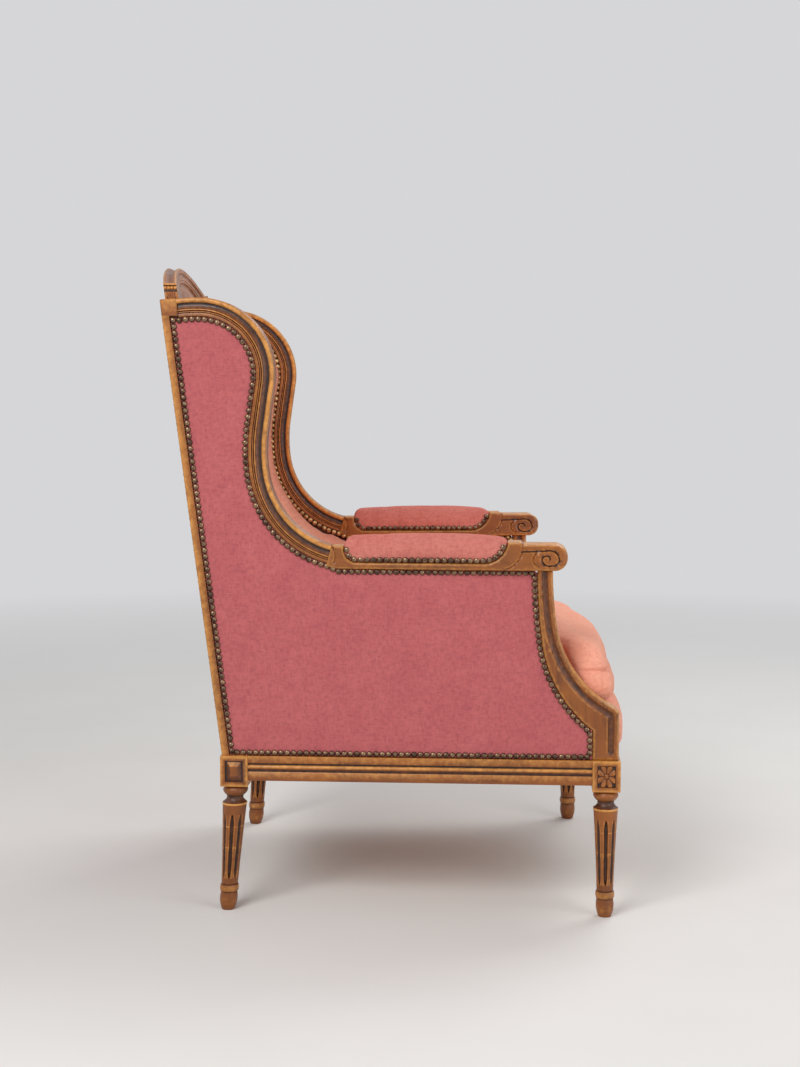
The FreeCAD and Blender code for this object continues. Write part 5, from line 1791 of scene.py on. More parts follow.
@dataclass(frozen=True)
class TopRail:
    """The bent top rail with its arched crest, carved ends and rows of pearls."""

    height: float = 0.046
    half_span: float = 0.235
    end_width: float = 0.023
    end_rise: float = 0.031
    rise: float = 0.068
    step: float = 0.003
    pearls: int = 4
    pearl: float = 0.0028
    roof_hollow: float = 0.0042
    # the last column is the shade: the top fillet paled by rubbing and a painted highlight, the two grooves
    # darkened by waxing and painted shade
    end_bands: tuple = (
        (0.0, 0.0034, 0.0030, 0.9), (0.0036, 0.0046, 0.0004, 0.0), (0.0106, 0.0138, 0.0006, 0.0),
    )
    pearl_drop: float = 0.0076
    leaf_drop: float = 0.0145
    pillar_inset: float = 0.0022
    stem: float = 0.0019
    lobes: int = 5

    def outline(self) -> list[Flat]:
        """The rail and its crest seen from the front."""
        half = PLAN.stile_inner_x(PLAN.stile_top) + 0.002
        top = PLAN.stile_top
        foot = top - self.height
        shoulder = self.half_span - self.end_width
        steps = [(-half, foot), (half, foot), (half, top), (self.half_span, top)]
        steps += [(self.half_span, top + self.end_rise), (shoulder, top + self.end_rise)]
        steps += [((0.0, top + self.rise), (-shoulder, top + self.end_rise))]
        steps += [(-self.half_span, top + self.end_rise), (-self.half_span, top), (-half, top), (-half, foot)]
        return path_through(steps, self.step)[:-1]

    def arc(self, inset: float) -> tuple[Flat, ...]:
        """A line that follows the arch.

        Args:
            inset: Distance inwards from the arch's edge.

        Returns:
            The line's points.
        """
        shoulder = self.half_span - self.end_width - inset * 0.6
        top = PLAN.stile_top - inset
        start, end = (shoulder, top + self.end_rise), (-shoulder, top + self.end_rise)
        return tuple(path_through([start, ((0.0, top + self.rise), end)], self.step))

    def grooves(self) -> tuple[Groove, ...]:
        """The arch's concentric lines, and a line along the rail's foot."""
        half = PLAN.stile_inner_x(PLAN.stile_top) - 0.006
        foot = PLAN.stile_top - self.height
        lower = path_through([(-half, foot + 0.034), (half, foot + 0.034)], self.step)
        return (
            Groove(self.arc(0.0125), 0.0040, 0.0034, floor_shade=0.1),
            Groove(self.arc(0.0215), 0.0016, 0.0016, Cut.VEE),
            Groove(self.arc(0.0305), 0.0050, 0.0034, floor_shade=0.1),
            Groove(tuple(lower), 0.003, 0.0026),
        )

    def place(self, x: float, z: float, inset: float) -> Vector:
        """Carries a point of the elevation on to the bowed and raked board.

        Args:
            x: Its place across.
            z: Its height.
            inset: How far it lies in front of the board's rear face.

        Returns:
            The point in the chair.
        """
        inner = PLAN.stile_inner_x(PLAN.stile_top)
        radius = (inner * inner + PLAN.back_bow ** 2) / (2 * PLAN.back_bow)
        rear_y = PLAN.back_line_y(PLAN.stile_top, 0.0)
        sag = radius - sqrt(max(radius * radius - x * x, 0.0))
        lean = (z - PLAN.stile_top) * tan(PLAN.rake)
        return Vector((x, rear_y + PLAN.back_bow - sag - inset + lean, z))

    def end_carving(self, side: int) -> Skin:
        """The carved end of the crest: a fillet, a row of pearls, two grooves and a leaf.

        Args:
            side: 1 for the left end and -1 for the right one.

        Returns:
            The carving's skin.
        """
        skin = Skin()
        rear, front = PLAN.cover, PLAN.stile_depth
        top = PLAN.stile_top + self.end_rise
        face = side * self.half_span
        for low, high, proud, shade in self.end_bands:
            section = ((low, 0.0), (low + 0.0004, proud), (high - 0.0004, proud), (high, 0.0))
            first = len(skin.points)
            corners = [(out, drop, inset) for drop, out in section for inset in (rear, front)]
            points = [self.place(face + side * out, top - drop, inset) for out, drop, inset in corners]
            skin.ring(points, [shade] * len(points), 0.0)
            skin.faces += [(a, a + 1, a + 3, a + 2) for a in range(first, first + 6, 2)]
            skin.faces += [tuple(first + k for k in ends) for ends in ((0, 2, 4, 6), (1, 7, 5, 3))]
        dome = domed(self.pearl, self.pearl, 5)
        for i in range(self.pearls):
            inset = rear + (i + 0.5) * (front - rear) / self.pearls
            # the pearls are pale; the ring at each one's foot takes painted shade
            steps = [(along, reach, EDGE - 0.5 * (k == 0)) for k, (along, reach) in enumerate(dome)]
            add_turned(skin, self.place(face, top - self.pearl_drop, inset), Vector((side, 0, 0)), 12, steps)
        self.leaf(skin, side, top - self.leaf_drop)
        return skin

    def leaf(self, skin: Skin, side: int, head: float) -> None:
        """Adds the worn leaf between the two small pillars of the crest's end.

        Args:
            skin: The skin that takes it.
            side: 1 for the left end and -1 for the right one.
            head: The leaf's upper height.
        """
        foot = PLAN.stile_top + 0.001
        rear, front = PLAN.cover, PLAN.stile_depth
        middle, half = (head + foot) / 2, (head - foot) / 2
        stems = [(inset, 0.0, 0.62) for inset in (rear + self.pillar_inset, front - self.pillar_inset)]
        margin = self.pillar_inset + 0.0024
        for i in range(self.lobes):
            share = (i + 0.5) / self.lobes
            stems.append((rear + margin + (front - rear - 2 * margin) * share, (share - 0.5) * 0.9, 0.28))
        for inset, lean, shade in stems:
            centre = self.place(side * self.half_span, middle - abs(lean) * 0.004, inset)
            reach = half * (1 - 0.5 * abs(lean))
            add_spindle(skin, centre, Vector((0, -lean, 1)).normalized(), reach, self.stem, shade)

    def build(self) -> None:
        """Builds the rail with its crest, and the carving of both ends."""
        plate = CarvedPlate(tuple(self.outline()), self.grooves(), 0.0022, 0.003)
        skin = plate.solid(
            lambda x, z, d: self.place(x, z, PLAN.stile_depth - d),
            lambda x, z, d: self.place(x, z, PLAN.cover + d),
            back_carved=False,
            hollow=lambda x, z: self.roof_hollow if z > PLAN.stile_top + self.end_rise + 0.0005 else 0.0,
        )
        fit(skin.build("top_rail_crest", CARVED), CARVED, FRAME_BODY, "top_rail")
        for side, word in ((1, "left"), (-1, "right")):
            piece = self.end_carving(side).build(f"crest_end_{word}", CARVED)
            fit(piece, CARVED, FRAME_BODY)


def domed(radius: float, rise: float, rows: int) -> list[Flat]:
    """Heights and radii of a dome's rows."""
    angles = [pi / 2 * i / rows for i in range(rows)]
    return [(rise * sin(angle), radius * cos(angle)) for angle in angles]


def add_turned(skin: Skin, centre: Vector, axis: Vector, sides: int, steps: Sequence[tuple]) -> None:
    """Adds a small turned form.

    Args:
        skin: The skin that takes it.
        centre: A point of its axis.
        axis: The axis's direction.
        sides: How many points each ring has.
        steps: The distance along the axis, the radius and the shade of each ring.
    """
    across = axis.orthogonal().normalized()
    up = axis.cross(across)
    turns = [2 * pi * k / sides for k in range(sides)]
    flats = [across * cos(turn) + up * sin(turn) for turn in turns]
    rings = []
    for along, reach, shade in steps:
        points = [centre + flat * reach + axis * along for flat in flats]
        rings.append(skin.ring(points, [shade] * sides, 0.0))
    skin.loft(rings)


def add_spindle(skin: Skin, centre: Vector, axis: Vector, half: float, radius: float, shade: float) -> None:
    """Adds a small spindle, thickest at its middle, with every second edge paler.

    Args:
        skin: The skin that takes it.
        centre: Its middle.
        axis: Its direction.
        half: Half its length.
        radius: Its radius at the middle.
        shade: The shade of its darker edges.
    """
    first, sides = len(skin.points), 8
    shares = [-1 + i / 4 for i in range(9)]
    steps = [(share * half, radius * sqrt(max(0.04, 1 - abs(share) ** 4)), shade) for share in shares]
    add_turned(skin, centre, axis, sides, steps)
    for k in range(first + 1, len(skin.points), 2):
        skin.shades[k] += 0.25


# nails


@dataclass(frozen=True)
class Nails:
    """Rows of domed bronze nails."""

    radius: float = 0.0051
    rise: float = 0.0040
    pitch: float = 0.0104
    sides: int = 14
    rows: int = 5
    tilt: float = 0.12
    seed: float = 900.0

    def along(self, skin: Skin, line: Sequence[Vector], outward: Vector) -> None:
        """Adds a row of nails along a line.

        Args:
            skin: The skin that takes the nails.
            line: The line through the nails' feet.
            outward: The direction in which they stand.
        """
        lengths = [0.0]
        for one, other in zip(line, line[1:]):
            lengths.append(lengths[-1] + (other - one).length)
        count = max(1, round(lengths[-1] / self.pitch))
        for i in range(count + 1):
            want = lengths[-1] * i / count
            k = max(1, next((j for j, at in enumerate(lengths) if at >= want - TINY), len(line) - 1))
            share = (want - lengths[k - 1]) / max(lengths[k] - lengths[k - 1], TINY)
            self.nail(skin, line[k - 1].lerp(line[k], share), outward)

    def nail(self, skin: Skin, foot: Vector, outward: Vector) -> None:
        """Adds one nail, tilted a little by its place.

        Args:
            skin: The skin that takes it.
            foot: Where it stands.
            outward: The direction in which it stands.
        """
        seed = foot * self.seed
        tilt = Vector((noise.noise(seed), noise.noise(seed.yzx), noise.noise(seed.zxy)))
        axis = (outward + tilt * self.tilt).normalized()
        steps = [(along, reach, PLAIN) for along, reach in domed(self.radius, self.rise, self.rows)]
        add_turned(skin, foot, axis, self.sides, steps)

    def skin(self, rows: Iterable[tuple[Sequence[Vector], Vector]]) -> Skin:
        """The skin of some rows.

        Args:
            rows: The line of each row, and the direction in which its nails stand.

        Returns:
            The nails' skin.
        """
        skin = Skin()
        for line, outward in rows:
            self.along(skin, line, outward)
        return skin

    def pair(self, name: str, finish: Finish, rows: Iterable[tuple[Sequence[Vector], Vector]]) -> None:
        """Builds rows of nails on both sides of the chair."""
        fit_pair(self.skin(rows), name, finish)

    def single(self, name: str, finish: Finish, rows: Iterable[tuple[Sequence[Vector], Vector]]) -> None:
        """Builds rows of nails on a piece that isn't one of a pair."""
        fit(self.skin(rows).build(name, finish), finish, FRAME_BODY)


# covers and pads


@dataclass(frozen=True)
class OutsideCovers:
    """The taut outer covers of the sides, with their rows of nails."""

    step: float = 0.004
    bulge: float = 0.0022
    hem: float = 0.004
    inset: float = 0.0012
    nail_inset: float = 0.0046
    nail_sink: float = 0.0010
    spacing: float = 0.005
    sheet: float = 0.0012
    deck_top: float = 0.339
    swell_reach: float = 0.02
    ripple: float = 0.0006
    ripple_reach: float = 0.03

    def border(self, inset: float) -> list[Flat]:
        """The cover's outline, from the wing's top round to the stile.

        Args:
            inset: How far it lies from the wood all round.

        Returns:
            The outline's points.
        """
        wing = PLAN.wing_run()
        foot_f = beside(wing.point, wing.heading, PLAN.wing_face + PLAN.arm_band / 2)[0]
        underside, low = PLAN.arm_underside - inset, PLAN.block_top + inset
        rear_f = -PLAN.block_side / 2 - inset
        edge = PLAN.stile_strip + inset
        start = [
            (f, z) for f, z in wing.points(self.step, PLAN.wing_face + inset)
            if (z > underside or f < foot_f) and f > PLAN.stile_rear(z) + edge
        ]
        support = PLAN.support_rear().points(self.step, inset)
        ends = [(f, z) for f, z in support if z < underside and f < rear_f]
        steps = [start[-1], (foot_f + 2 * PLAN.arm_band, underside), (ends[0][0], underside)]
        line = start[:-1] + path_through(steps, self.step)[:-1] + ends
        corners = [ends[-1], (rear_f, ends[-1][1]), (rear_f, low)]
        corners += [(PLAN.stile_rear(z) + edge, z) for z in (low, start[0][1])]
        return line[:-1] + path_through([*corners, start[0]], self.step)[:-1]

    def skin(self) -> Skin:
        """The cover as a thin sheet, drawn tight over its opening."""
        outline = np.array(self.border(self.inset))
        plate = CarvedPlate(tuple(map(tuple, outline)), (), self.hem, self.spacing)
        level = PLAN.bed_half + PLAN.cover - self.bulge

        def lift(points: Points) -> Points:
            """How far the cloth stands proud of its nailed edge at some points."""
            gap = distance_to(points, outline, True)
            ripple = np.array([noise.noise(Vector((f * 14, z * 9, 0.0))) for f, z in points])
            swell = self.bulge * (1 - np.exp(-gap / self.swell_reach))
            return swell + self.ripple * ripple * np.minimum(1.0, gap / self.ripple_reach)

        return plate.solid(
            lambda f, z, d: PLAN.put(f, z, level - d),
            lambda f, z, d: PLAN.put(f, z, level - self.sheet + d),
            lift=lift,
        )

    def build(self, nails: Nails) -> None:
        """Builds both covers and the rows of nails on the outer and the inner side.

        Args:
            nails: The maker of the nail rows.
        """
        border = np.array(self.border(self.inset))
        pieces = fit_pair(self.skin(), "outside_cover", OUTER_VELVET, "outside_panel")
        line = self.border(self.nail_inset)
        level = PLAN.bed_half + PLAN.cover - self.nail_sink
        outer = [PLAN.put(f, z, level) for f, z in [*line, line[0]]]
        nails.pair("outside_nails", NAIL_BRONZE, [(outer, PLAN.outward)])
        inner = [PLAN.put(*point, -level) for point in line if self.shows_inside(point)]
        nails.pair("inside_nails", NAIL_BRONZE_LIT, [(inner, -PLAN.outward)])

    def shows_inside(self, point: Flat) -> bool:
        """Whether a point of the border shows on the sitter's side."""
        f, z = point
        return z > self.deck_top + 0.012 and f > PLAN.stile_front(z) + 0.03


@dataclass(frozen=True)
class OutsideBack:
    """The taut outer cover of the back, bowed between the stiles, with its nails."""

    sheet: float = 0.0012
    bulge: float = 0.002
    drop: float = 0.0241
    columns: int = 60
    rows: int = 90
    nail_inset: float = 0.0067
    nail_sink: float = 0.0012

    def bow_at(self, z: float) -> float:
        """How far the back bows rearward at a height."""
        share = (z - PLAN.block_top) / (PLAN.stile_top - TopRail.height - PLAN.block_top)
        return PLAN.back_bow_foot + (PLAN.back_bow - PLAN.back_bow_foot) * share

    def place(self, across: float, z: float, inset: float) -> Vector:
        """A point of the cover.

        Args:
            across: From -1 at one edge to 1 at the other.
            z: Its height.
            inset: How far it lies in front of the cover's rear face.

        Returns:
            The point in the chair.
        """
        half = PLAN.put(PLAN.stile_rear(z), z, PLAN.stile_width / 2 - PLAN.stile_strip - 0.0002).x
        inner = PLAN.stile_inner_x(z)
        x = half * across
        share = min(abs(x) / inner, 1.0)
        return Vector((x, PLAN.back_line_y(z, inset) + self.bow_at(z) * (1 - share * share), z))

    def skin(self) -> Skin:
        """The cover's skin."""
        skin = Skin()
        low, high = PLAN.block_top + 0.0004, PLAN.stile_top - self.drop
        grids = []
        for thick in (0.0, self.sheet):
            grid = []
            for i in range(self.rows + 1):
                z = low + (high - low) * i / self.rows
                row = []
                for k in range(self.columns + 1):
                    across = 2 * k / self.columns - 1
                    gap = min((1 - abs(across)) * 0.28, z - low, high - z)
                    swell = self.bulge * (1 - exp(-gap / 0.02)) - self.bulge
                    ripple = 0.0006 * noise.noise(Vector((across * 3, z * 9, 5.0))) * min(1.0, gap / 0.03)
                    row.append(self.place(across, z, thick - swell - ripple))
                grid.append(skin.ring(row, [PLAIN] * len(row), z))
            grids.append(grid)
        for grid in grids:
            for one, other in zip(grid, grid[1:]):
                skin.bridge(one, other, closed=False)
        rims = []
        for grid in grids:
            right = [row[-1] for row in grid[1:-1]]
            left = [row[0] for row in reversed(grid[1:-1])]
            rims.append([*grid[0], *right, *reversed(grid[-1]), *left])
        skin.bridge(*rims)
        return skin

    def build(self, nails: Nails) -> None:
        """Builds the cover and its rows of nails.

        Args:
            nails: The maker of the nail rows.
        """
        piece = self.skin().build("outside_back_cover", OUTER_VELVET)
        fit(piece, OUTER_VELVET, FRAME_BODY, "outside_back")
        low, high = PLAN.block_top, PLAN.stile_top - self.drop
        width, foot = (2 * self.place(1.0, z, 0.0).x for z in (high, low))
        length = (high - low) / cos(PLAN.rake)
        wide = max(width, foot)
        edge = 1 - self.nail_inset / (width / 2)
        inset = self.bulge - self.nail_sink
        ticks = [i / 40 for i in range(41)]
        heights = [low + self.nail_inset + (high - low - 2 * self.nail_inset) * t for t in ticks]
        up = [self.place(-edge, z, inset) for z in heights]
        over = [self.place(edge * (2 * t - 1), heights[-1], inset) for t in ticks]
        down = [self.place(edge, z, inset) for z in reversed(heights)]
        back = [self.place(edge * (2 * t - 1), heights[0], inset) for t in reversed(ticks)]
        line = up + over[1:] + down[1:] + back[1:]
        nails.single("outside_back_nails", NAIL_BRONZE, [(line, Vector((0, 1, 0)))])


@dataclass(frozen=True)
class TrimNails:
    """The rows of nails round the arm pads, along the seat's front and over the inner back."""

    pad_rise: float = 0.0052
    pad_sink: float = 0.0036
    rear_stop: float = 0.6045
    front_stop: float = 0.6085
    seat_height: float = 0.2665
    seat_proud: float = 0.0012
    seat_share: float = 0.985
    back_height: float = 0.9735
    back_margin: float = 0.034
    back_proud: float = 0.0008

    def arm_rows(self) -> list[tuple[list[Vector], Vector]]:
        """The rows on both faces of an armrest, round the foot of its pad."""
        arm = Armrest()
        line = np.array(path_through(arm.seat(), 0.002))
        line = line + normals_of(line, False) * self.pad_rise
        line = [(f, z) for f, z in line if z < (self.rear_stop if f < -0.3 else self.front_stop)]
        return [
            ([PLAN.put(f, z, side * (arm.half_at(f) - self.pad_sink)) for f, z in line], PLAN.outward * side)
            for side in (1, -1)
        ]

    def build(self, nails: Nails) -> None:
        """Builds the rows.

        Args:
            nails: The maker of the nail rows.
        """
        nails.pair("arm_pad_nails", NAIL_BRONZE, self.arm_rows())
        radius, centre_y, reach = SeatRails().bow()
        arm = radius + PLAN.bed_half - PLAN.rail_outer + self.seat_proud
        angles = [reach * self.seat_share * (2 * i / 60 - 1) for i in range(61)]
        row = [Vector((arm * sin(a), centre_y - arm * cos(a), self.seat_height)) for a in angles]
        forward = Vector((0, -1, 0))
        nails.single("seat_front_nails", NAIL_BRONZE_LIT, [(row, forward)])
        half = PLAN.stile_inner_x(self.back_height) - self.back_margin
        inset = PLAN.stile_depth + self.back_proud
        row = [TopRail().place(half * (2 * i / 40 - 1), self.back_height, inset) for i in range(41)]
        nails.single("inside_back_nails", NAIL_BRONZE_LIT, [(row, forward)])


def ramp(values: Points, start: float, width: float) -> Points:
    """Rises from 0 to 1 over a width that begins at a start."""
    return np.clip((values - start) / width, 0.0, 1.0)


def uneven(places: Iterable[Corner]) -> Points:
    """Smooth unevenness of cloth, from about -1 to 1, at some places."""
    return np.array([noise.noise(Vector(place)) for place in places])


@dataclass(frozen=True)
class NailedEdge:
    """Draws a side pad down to the wood along its row of nails, and wrinkles it."""

    hand: Hand
    at_nails: float = 0.0125
    fullness: float = 0.036
    margin: float = 0.004
    spread: float = 0.011
    wrinkle: float = 0.0022
    wrinkle_start: float = 0.04

    def __call__(self, points: Points) -> Points:
        """Shapes the pad.

        Args:
            points: The pad's points in the chair.

        Returns:
            The shaped points.
        """
        covers = OutsideCovers()
        line = np.array([point for point in covers.border(0.0) if covers.shows_inside(point)])
        x, y, z = points[:, 0] * self.hand.value - PLAN.front_half, points[:, 1] + PLAN.origin, points[:, 2]
        c, s = cos(PLAN.toe), sin(PLAN.toe)
        local = np.stack([x * s - y * c, z, x * c + y * s], axis=1)
        gap = distance_to(local[:, :2], line, False)
        fall = np.exp(-np.maximum(gap - self.margin, 0.0) / self.spread)
        local[:, 2] = np.maximum(local[:, 2], -(self.at_nails + self.fullness * (1 - fall)))
        wrinkle = uneven((f * 22 + z * 14, z * 10 - f * 8, 3.0) for f, z, _ in local)
        wrinkle *= np.minimum(1.0, gap / self.wrinkle_start) * (local[:, 2] < -0.012)
        local[:, 2] -= self.wrinkle * wrinkle
        f, w = local[:, 0], local[:, 2]
        x = PLAN.front_half + w * c + f * s
        return np.stack([x * self.hand.value, w * s - f * c - PLAN.origin, z], axis=1)


@dataclass(frozen=True)
class RolledFront:
    """Fills out the roll of the seat over the front rail."""

    fullness: float = 0.0045
    low: float = 0.266
    high: float = 0.345
    depth: float = 0.035
    fade: float = 0.03

    def __call__(self, points: Points) -> Points:
        """Shapes the deck.

        Args:
            points: The deck's points in the chair.

        Returns:
            The shaped points.
        """
        radius, centre_y, _ = SeatRails().bow()
        away = np.hypot(points[:, 0], points[:, 1] - centre_y)
        front = ramp(away, radius - self.depth, self.fade)
        front *= points[:, 1] < centre_y - radius * 0.9
        height = ramp(points[:, 2], self.low, self.high - self.low)
        out = self.fullness * front * np.sin(np.pi * height) ** 0.5
        scale = (away + out) / np.maximum(away, TINY)
        shaped = points.copy()
        shaped[:, 0] *= scale
        shaped[:, 1] = centre_y + (points[:, 1] - centre_y) * scale
        return shaped


@dataclass(frozen=True)
class SewnCushion:
    """Fills the cushion's crown, ears and boxing, pinches its seam and puckers the cloth below."""

    middle_y: float = -0.09
    seam: float = 0.4009
    foot: float = 0.341
    boxing: float = 0.009
    pinch: float = 0.006
    pinch_width: float = 0.005
    pucker: float = 0.0024
    crown: float = 0.012
    crown_height: float = 0.085
    dent: float = 0.0035
    sag: float = 0.009
    ear: float = 0.011
    ear_lift: float = 0.007
    ear_foot: float = 0.345
    ear_height: float = 0.12
    outer: Flat = (0.15, 0.06)
    front: Flat = (0.30, 0.05)
    ear_side: Flat = (0.20, 0.06)
    ear_front: Flat = (0.27, 0.04)
    over_width: float = 0.02
    box_round: float = 0.8
    box_fill: Flat = (0.4, 0.6)
    pucker_scale: Flat = (26, 12)
    dent_scale: float = 7

    def __call__(self, points: Points) -> Points:
        """Shapes the cushion.

        Args:
            points: The cushion's points in the chair.

        Returns:
            The shaped points.
        """
        flat = points[:, :2] - np.array([0.0, self.middle_y])
        reach = np.linalg.norm(flat, axis=1)
        angle = np.arctan2(flat[:, 1], flat[:, 0])
        height = points[:, 2]
        outer = ramp(reach, *self.outer)
        front = ramp(-points[:, 1], *self.front)
        box = np.pi * ramp(-height, -self.seam, self.seam - self.foot)
        crown = np.pi * ramp(height, self.seam, self.crown_height)
        least, more = self.box_fill
        out = self.boxing * np.sin(box) ** self.box_round * outer * (least + more * front)
        round_scale, up_scale = self.pucker_scale
        puckers = uneven((a * round_scale, z * up_scale, 1.0) for a, z in zip(angle, height))
        out += self.pucker * puckers * np.sin(box) * outer
        out += self.crown * np.sin(crown) * front
        out -= self.pinch * np.exp(-(((height - self.seam) / self.pinch_width) ** 2)) * outer
        shaped = points.copy()
        shaped[:, :2] += flat / np.maximum(reach, TINY)[:, None] * out[:, None]
        over = ramp(height, self.seam, self.over_width)
        dents = uneven((x * self.dent_scale, y * self.dent_scale, 2.0) for x, y in points[:, :2])
        shaped[:, 2] += (self.dent * dents - self.sag) * over
        ear = ramp(np.abs(points[:, 0]), *self.ear_side) * ramp(-points[:, 1], *self.ear_front)
        swell = np.sin(np.pi * ramp(height, self.ear_foot, self.ear_height))
        shaped[:, 0] += np.sign(points[:, 0]) * self.ear * ear * swell
        shaped[:, 2] += self.ear_lift * ear * over
        return shaped


@dataclass(frozen=True)
class Pad:
    """A stuffed piece that starts from its solid and is blown up a little as cloth."""

    name: str
    node: str
    finish: Finish
    body: str = FRAME_BODY
    fill: float = 0.7
    voxel: float = 0.006
    shrink: float = 0.004
    cap: float = 0.009
    pressure: float = 4.0
    quality: int = 5
    frames: int = 20
    smooth: int = 8
    shape: Callable[[Points], Points] | None = None

    def base(self) -> Object:
        """A remeshed and slightly shrunk copy of the frame's solid."""
        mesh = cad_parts[self.node].data.copy()
        mesh.name = self.name
        mesh.materials.clear()
        piece = bpy.data.objects.new(self.name, mesh)
        bpy.context.scene.collection.objects.link(piece)
        remesh = piece.modifiers.new("even", "REMESH")
        remesh.mode = "VOXEL"
        remesh.voxel_size = self.voxel
        piece.modifiers.new("soft", "SMOOTH").iterations = self.smooth
        apply_modifiers(piece)
        normals = [vert.normal.copy() for vert in piece.data.vertices]
        for vert, normal in zip(piece.data.vertices, normals):
            vert.co -= normal * self.shrink
        return piece

    def swell(self, piece: Object) -> None:
        """Blows the piece up as cloth, holding how far each point may move.

        Args:
            piece: The pad, which is changed.
        """
        rest = np.array([vert.co for vert in piece.data.vertices])
        settings = piece.modifiers.new("cloth", "CLOTH").settings
        settings.quality = self.quality
        settings.use_pressure = True
        settings.uniform_pressure_force = self.pressure
        settings.effector_weights.gravity = 0.0
        scene = bpy.context.scene
        scene.frame_start, scene.frame_end = 1, self.frames
        for number in range(1, self.frames + 1):
            scene.frame_set(number)
        apply_modifiers(piece)
        step = np.array([vert.co for vert in piece.data.vertices]) - rest
        length = np.linalg.norm(step, axis=1)
        held = rest + step * np.minimum(1.0, self.cap / np.maximum(length, TINY))[:, None]
        piece.data.vertices.foreach_set("co", held.astype(np.float32).ravel())
        scene.frame_set(1)

    def build(self) -> Object:
        """Builds the pad and fits it in place of its solid."""
        piece = self.base()
        self.swell(piece)
        smooth = piece.modifiers.new("finer", "SUBSURF")
        smooth.levels = smooth.render_levels = 1
        apply_modifiers(piece)
        if self.shape:
            points = self.shape(np.array([v.co for v in piece.data.vertices]))
            piece.data.vertices.foreach_set("co", points.astype(np.float32).ravel())
        piece.data.shade_smooth()
        piece.data.materials.append(self.finish.material())
        fit(piece, self.finish, self.body, self.node)
        return piece


def apply_modifiers(piece: Object) -> None:
    """Turns a piece's modifiers into its mesh.

    Args:
        piece: The object, which is changed.
    """
    graph = bpy.context.evaluated_depsgraph_get()
    graph.update()
    mesh = bpy.data.meshes.new_from_object(piece.evaluated_get(graph))
    piece.modifiers.clear()
    old = piece.data
    piece.data = mesh
    bpy.data.meshes.remove(old)


# stage


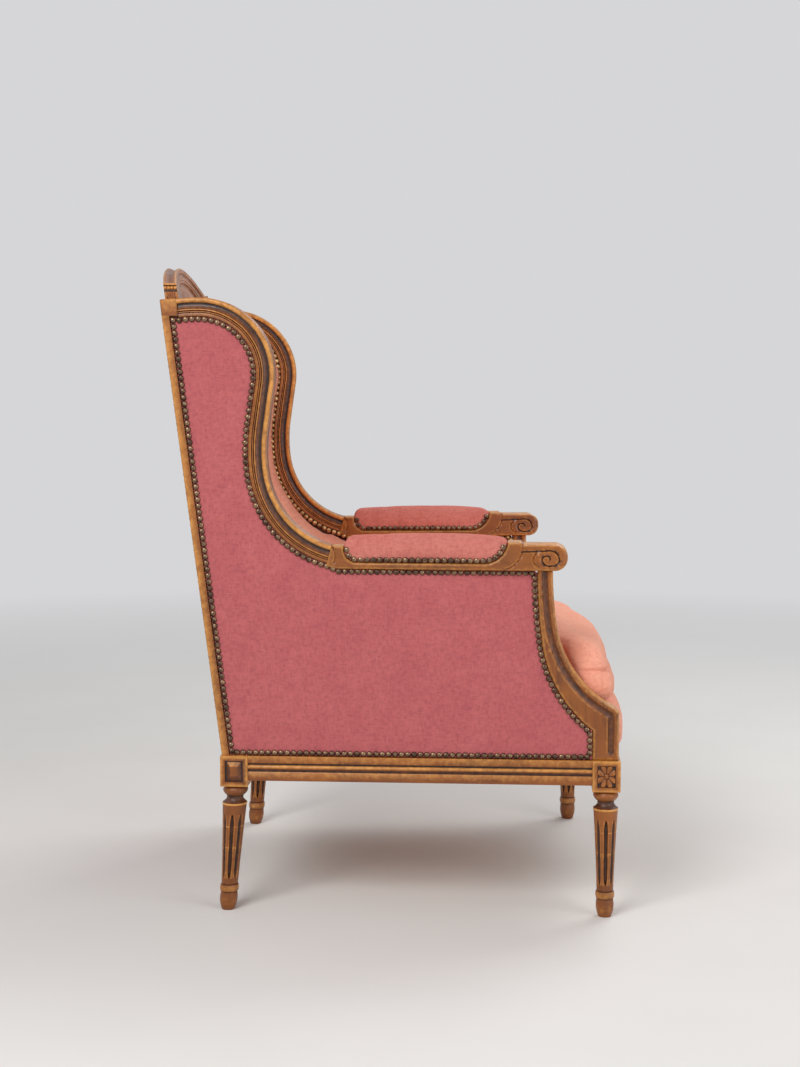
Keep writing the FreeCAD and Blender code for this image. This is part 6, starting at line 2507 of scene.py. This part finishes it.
@dataclass(frozen=True)
class Studio:
    """The floor, the backdrop, the lights and the camera."""

    distance: float = 3.1435
    aside: float = -0.0101
    eye: float = 0.882
    pitch_deg: float = 5.11
    lens: float = 59.4
    air_light: float = 0.5
    pale: tuple = colour(214, 214, 216)
    fade: Flat = (1.2, 4.2)
    floor_radius: float = 40.0
    floor_sides: int = 64
    lamps: tuple = (
        ("key", (-2.6, 1.4, 2.6), 1.6, 70.0), ("fill", (-2.4, -2.6, 1.4), 2.2, 34.0),
        ("rim", (1.6, -1.4, 2.8), 1.8, 40.0),
    )

    def seen(self, brush: Brush) -> Socket:
        """Whether a ray comes from the camera, straight or by a reflection or through glass.

        Args:
            brush: The brush that lays the nodes.

        Returns:
            1 for such a ray and 0 for others.
        """
        path = brush.add("ShaderNodeLightPath").outputs
        straight = brush.math("MAXIMUM", path["Is Camera Ray"], path["Is Glossy Ray"])
        return brush.math("MAXIMUM", straight, path["Is Transmission Ray"])

    def floor(self) -> None:
        """A wide pale floor that fades into the air around it."""
        brush = Brush("studio_paper")
        place = brush.place()
        tone = brush.mixed(brush.noise(place, 3.0), colour(228, 226, 222), colour(236, 234, 231))
        brush.feed(brush.shader.inputs["Base Color"], tone)
        brush.feed(brush.shader.inputs["Roughness"], 0.9)
        away = brush.add("ShaderNodeVectorMath", {0: place}, operation="LENGTH").outputs["Value"]
        share = brush.math("MULTIPLY", brush.ranged(away, *self.fade), self.seen(brush))
        glow = brush.add("ShaderNodeEmission", {"Color": self.pale, "Strength": 1.0})
        both = brush.add("ShaderNodeMixShader", {0: share, 1: brush.shader.outputs[0], 2: glow.outputs[0]})
        brush.links.new(both.outputs[0], brush.nodes["Material Output"].inputs["Surface"])
        mesh = bpy.data.meshes.new("studio_floor")
        sides, radius = self.floor_sides, self.floor_radius
        turns = [2 * pi * i / sides for i in range(sides)]
        rim = [(radius * cos(a), radius * sin(a), 0.0) for a in turns]
        mesh.from_pydata(rim, [], [tuple(range(sides))])
        mesh.materials.append(brush.material)
        floor = bpy.data.objects.new("studio_floor", mesh)
        bpy.context.scene.collection.objects.link(floor)
        floor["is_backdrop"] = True

    def air(self) -> None:
        """An even light all round, which looks as pale as the floor."""
        world = bpy.data.worlds.new("studio_air")
        brush = Brush("", world)
        background = brush.nodes["Background"].inputs
        background["Color"].default_value = self.pale
        strength = brush.ranged(self.seen(brush), 0.0, 1.0, (self.air_light, 1.0))
        brush.feed(background["Strength"], strength)
        bpy.context.scene.world = world

    def lamp(self, name: str, place: Vector, aim: Vector, size: float, power: float) -> None:
        """Adds a soft square light.

        Args:
            name: The lamp's name.
            place: Where it hangs.
            aim: What it shines at.
            size: Its width.
            power: Its strength in watts.
        """
        data = bpy.data.lights.new(name, "AREA")
        data.shape = "SQUARE"
        data.size = size
        data.energy = power
        lamp = bpy.data.objects.new(name, data)
        lamp.location = place
        lamp.rotation_euler = (aim - place).to_track_quat("-Z", "Y").to_euler()
        bpy.context.scene.collection.objects.link(lamp)

    def camera(self) -> None:
        """Stands the camera where the photograph was taken."""
        data = bpy.data.cameras.new("camera")
        data.lens = self.lens
        camera = bpy.data.objects.new("camera", data)
        camera.location = (-self.distance, self.aside, self.eye)
        pitch = radians(self.pitch_deg)
        ahead = Vector((cos(pitch), 0.0, -sin(pitch)))
        camera.rotation_euler = ahead.to_track_quat("-Z", "Y").to_euler()
        bpy.context.scene.collection.objects.link(camera)
        bpy.context.scene.camera = camera

    def build(self) -> None:
        """Sets up the whole stage."""
        self.floor()
        for name, place, size, power in self.lamps:
            self.lamp(name, Vector(place), Vector((0.0, 0.0, 0.55)), size, power)
        self.air()
        bpy.context.scene.view_settings.view_transform = "Standard"
        self.camera()


def finish_hidden_nodes() -> None:
    """Gives the frame's own nodes that stay their materials."""
    finishes = {
        CARVED_PLAIN: ("back_rail",),
        BEECH: (
            "back_lower_rail", "side_tack_rail_left", "side_tack_rail_right", "seat_glue_blocks",
            "frame_slips_left", "frame_slips_right",
        ),
        JUTE: ("seat_webbing", "back_webbing"),
    }
    for finish, names in finishes.items():
        for name in names:
            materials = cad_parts[name].data.materials
            materials.clear()
            materials.append(finish.material())
            log.info("%s takes %s", name, finish.name)


def write_sizes() -> None:
    """Puts the boxes of the frame and of the dressed chair side by side; nothing is kept."""
    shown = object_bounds()
    sizes = {name: [list(corner) for corner in box] for name, box in (("cad", cad_bounds), ("visual", shown))}


def main() -> None:
    """Builds the chair piece by piece, then the stage."""
    logging.basicConfig(level=logging.INFO, format="%(name)s: %(message)s")
    Studio().build()
    finish_hidden_nodes()
    Posts().build()
    WingFrame().build()
    SeatRails().build()
    ArmSupport().build()
    Armrest().build()
    TopRail().build()
    nails = Nails()
    OutsideCovers().build(nails)
    OutsideBack().build(nails)
    TrimNails().build(nails)
    for hand, side in ((Hand.LEFT, "left"), (Hand.RIGHT, "right")):
        Pad(
            f"inside_side_{side}", f"inside_side_pad_{side}", INNER_VELVET, cap=0.006, shrink=0.001,
            shape=NailedEdge(hand),
        ).build()
        Pad(
            f"arm_cushion_{side}", f"arm_pad_{side}", ARM_VELVET, voxel=0.004, shrink=0.0, cap=0.004, smooth=2
        ).build()
    Pad("inside_back", "inside_back_pad", INNER_VELVET, cap=0.008, shrink=0.0).build()
    Pad("deck_cover", "seat_deck", INNER_VELVET, cap=0.003, shrink=0.0, smooth=4, shape=RolledFront()).build()
    Pad(
        "seat_cushion_cover", "seat_cushion", INNER_VELVET, CUSHION_BODY, cap=0.008, shrink=0.002,
        shape=SewnCushion(),
    ).build()
    write_sizes()


if __name__ == "__main__":
    main()
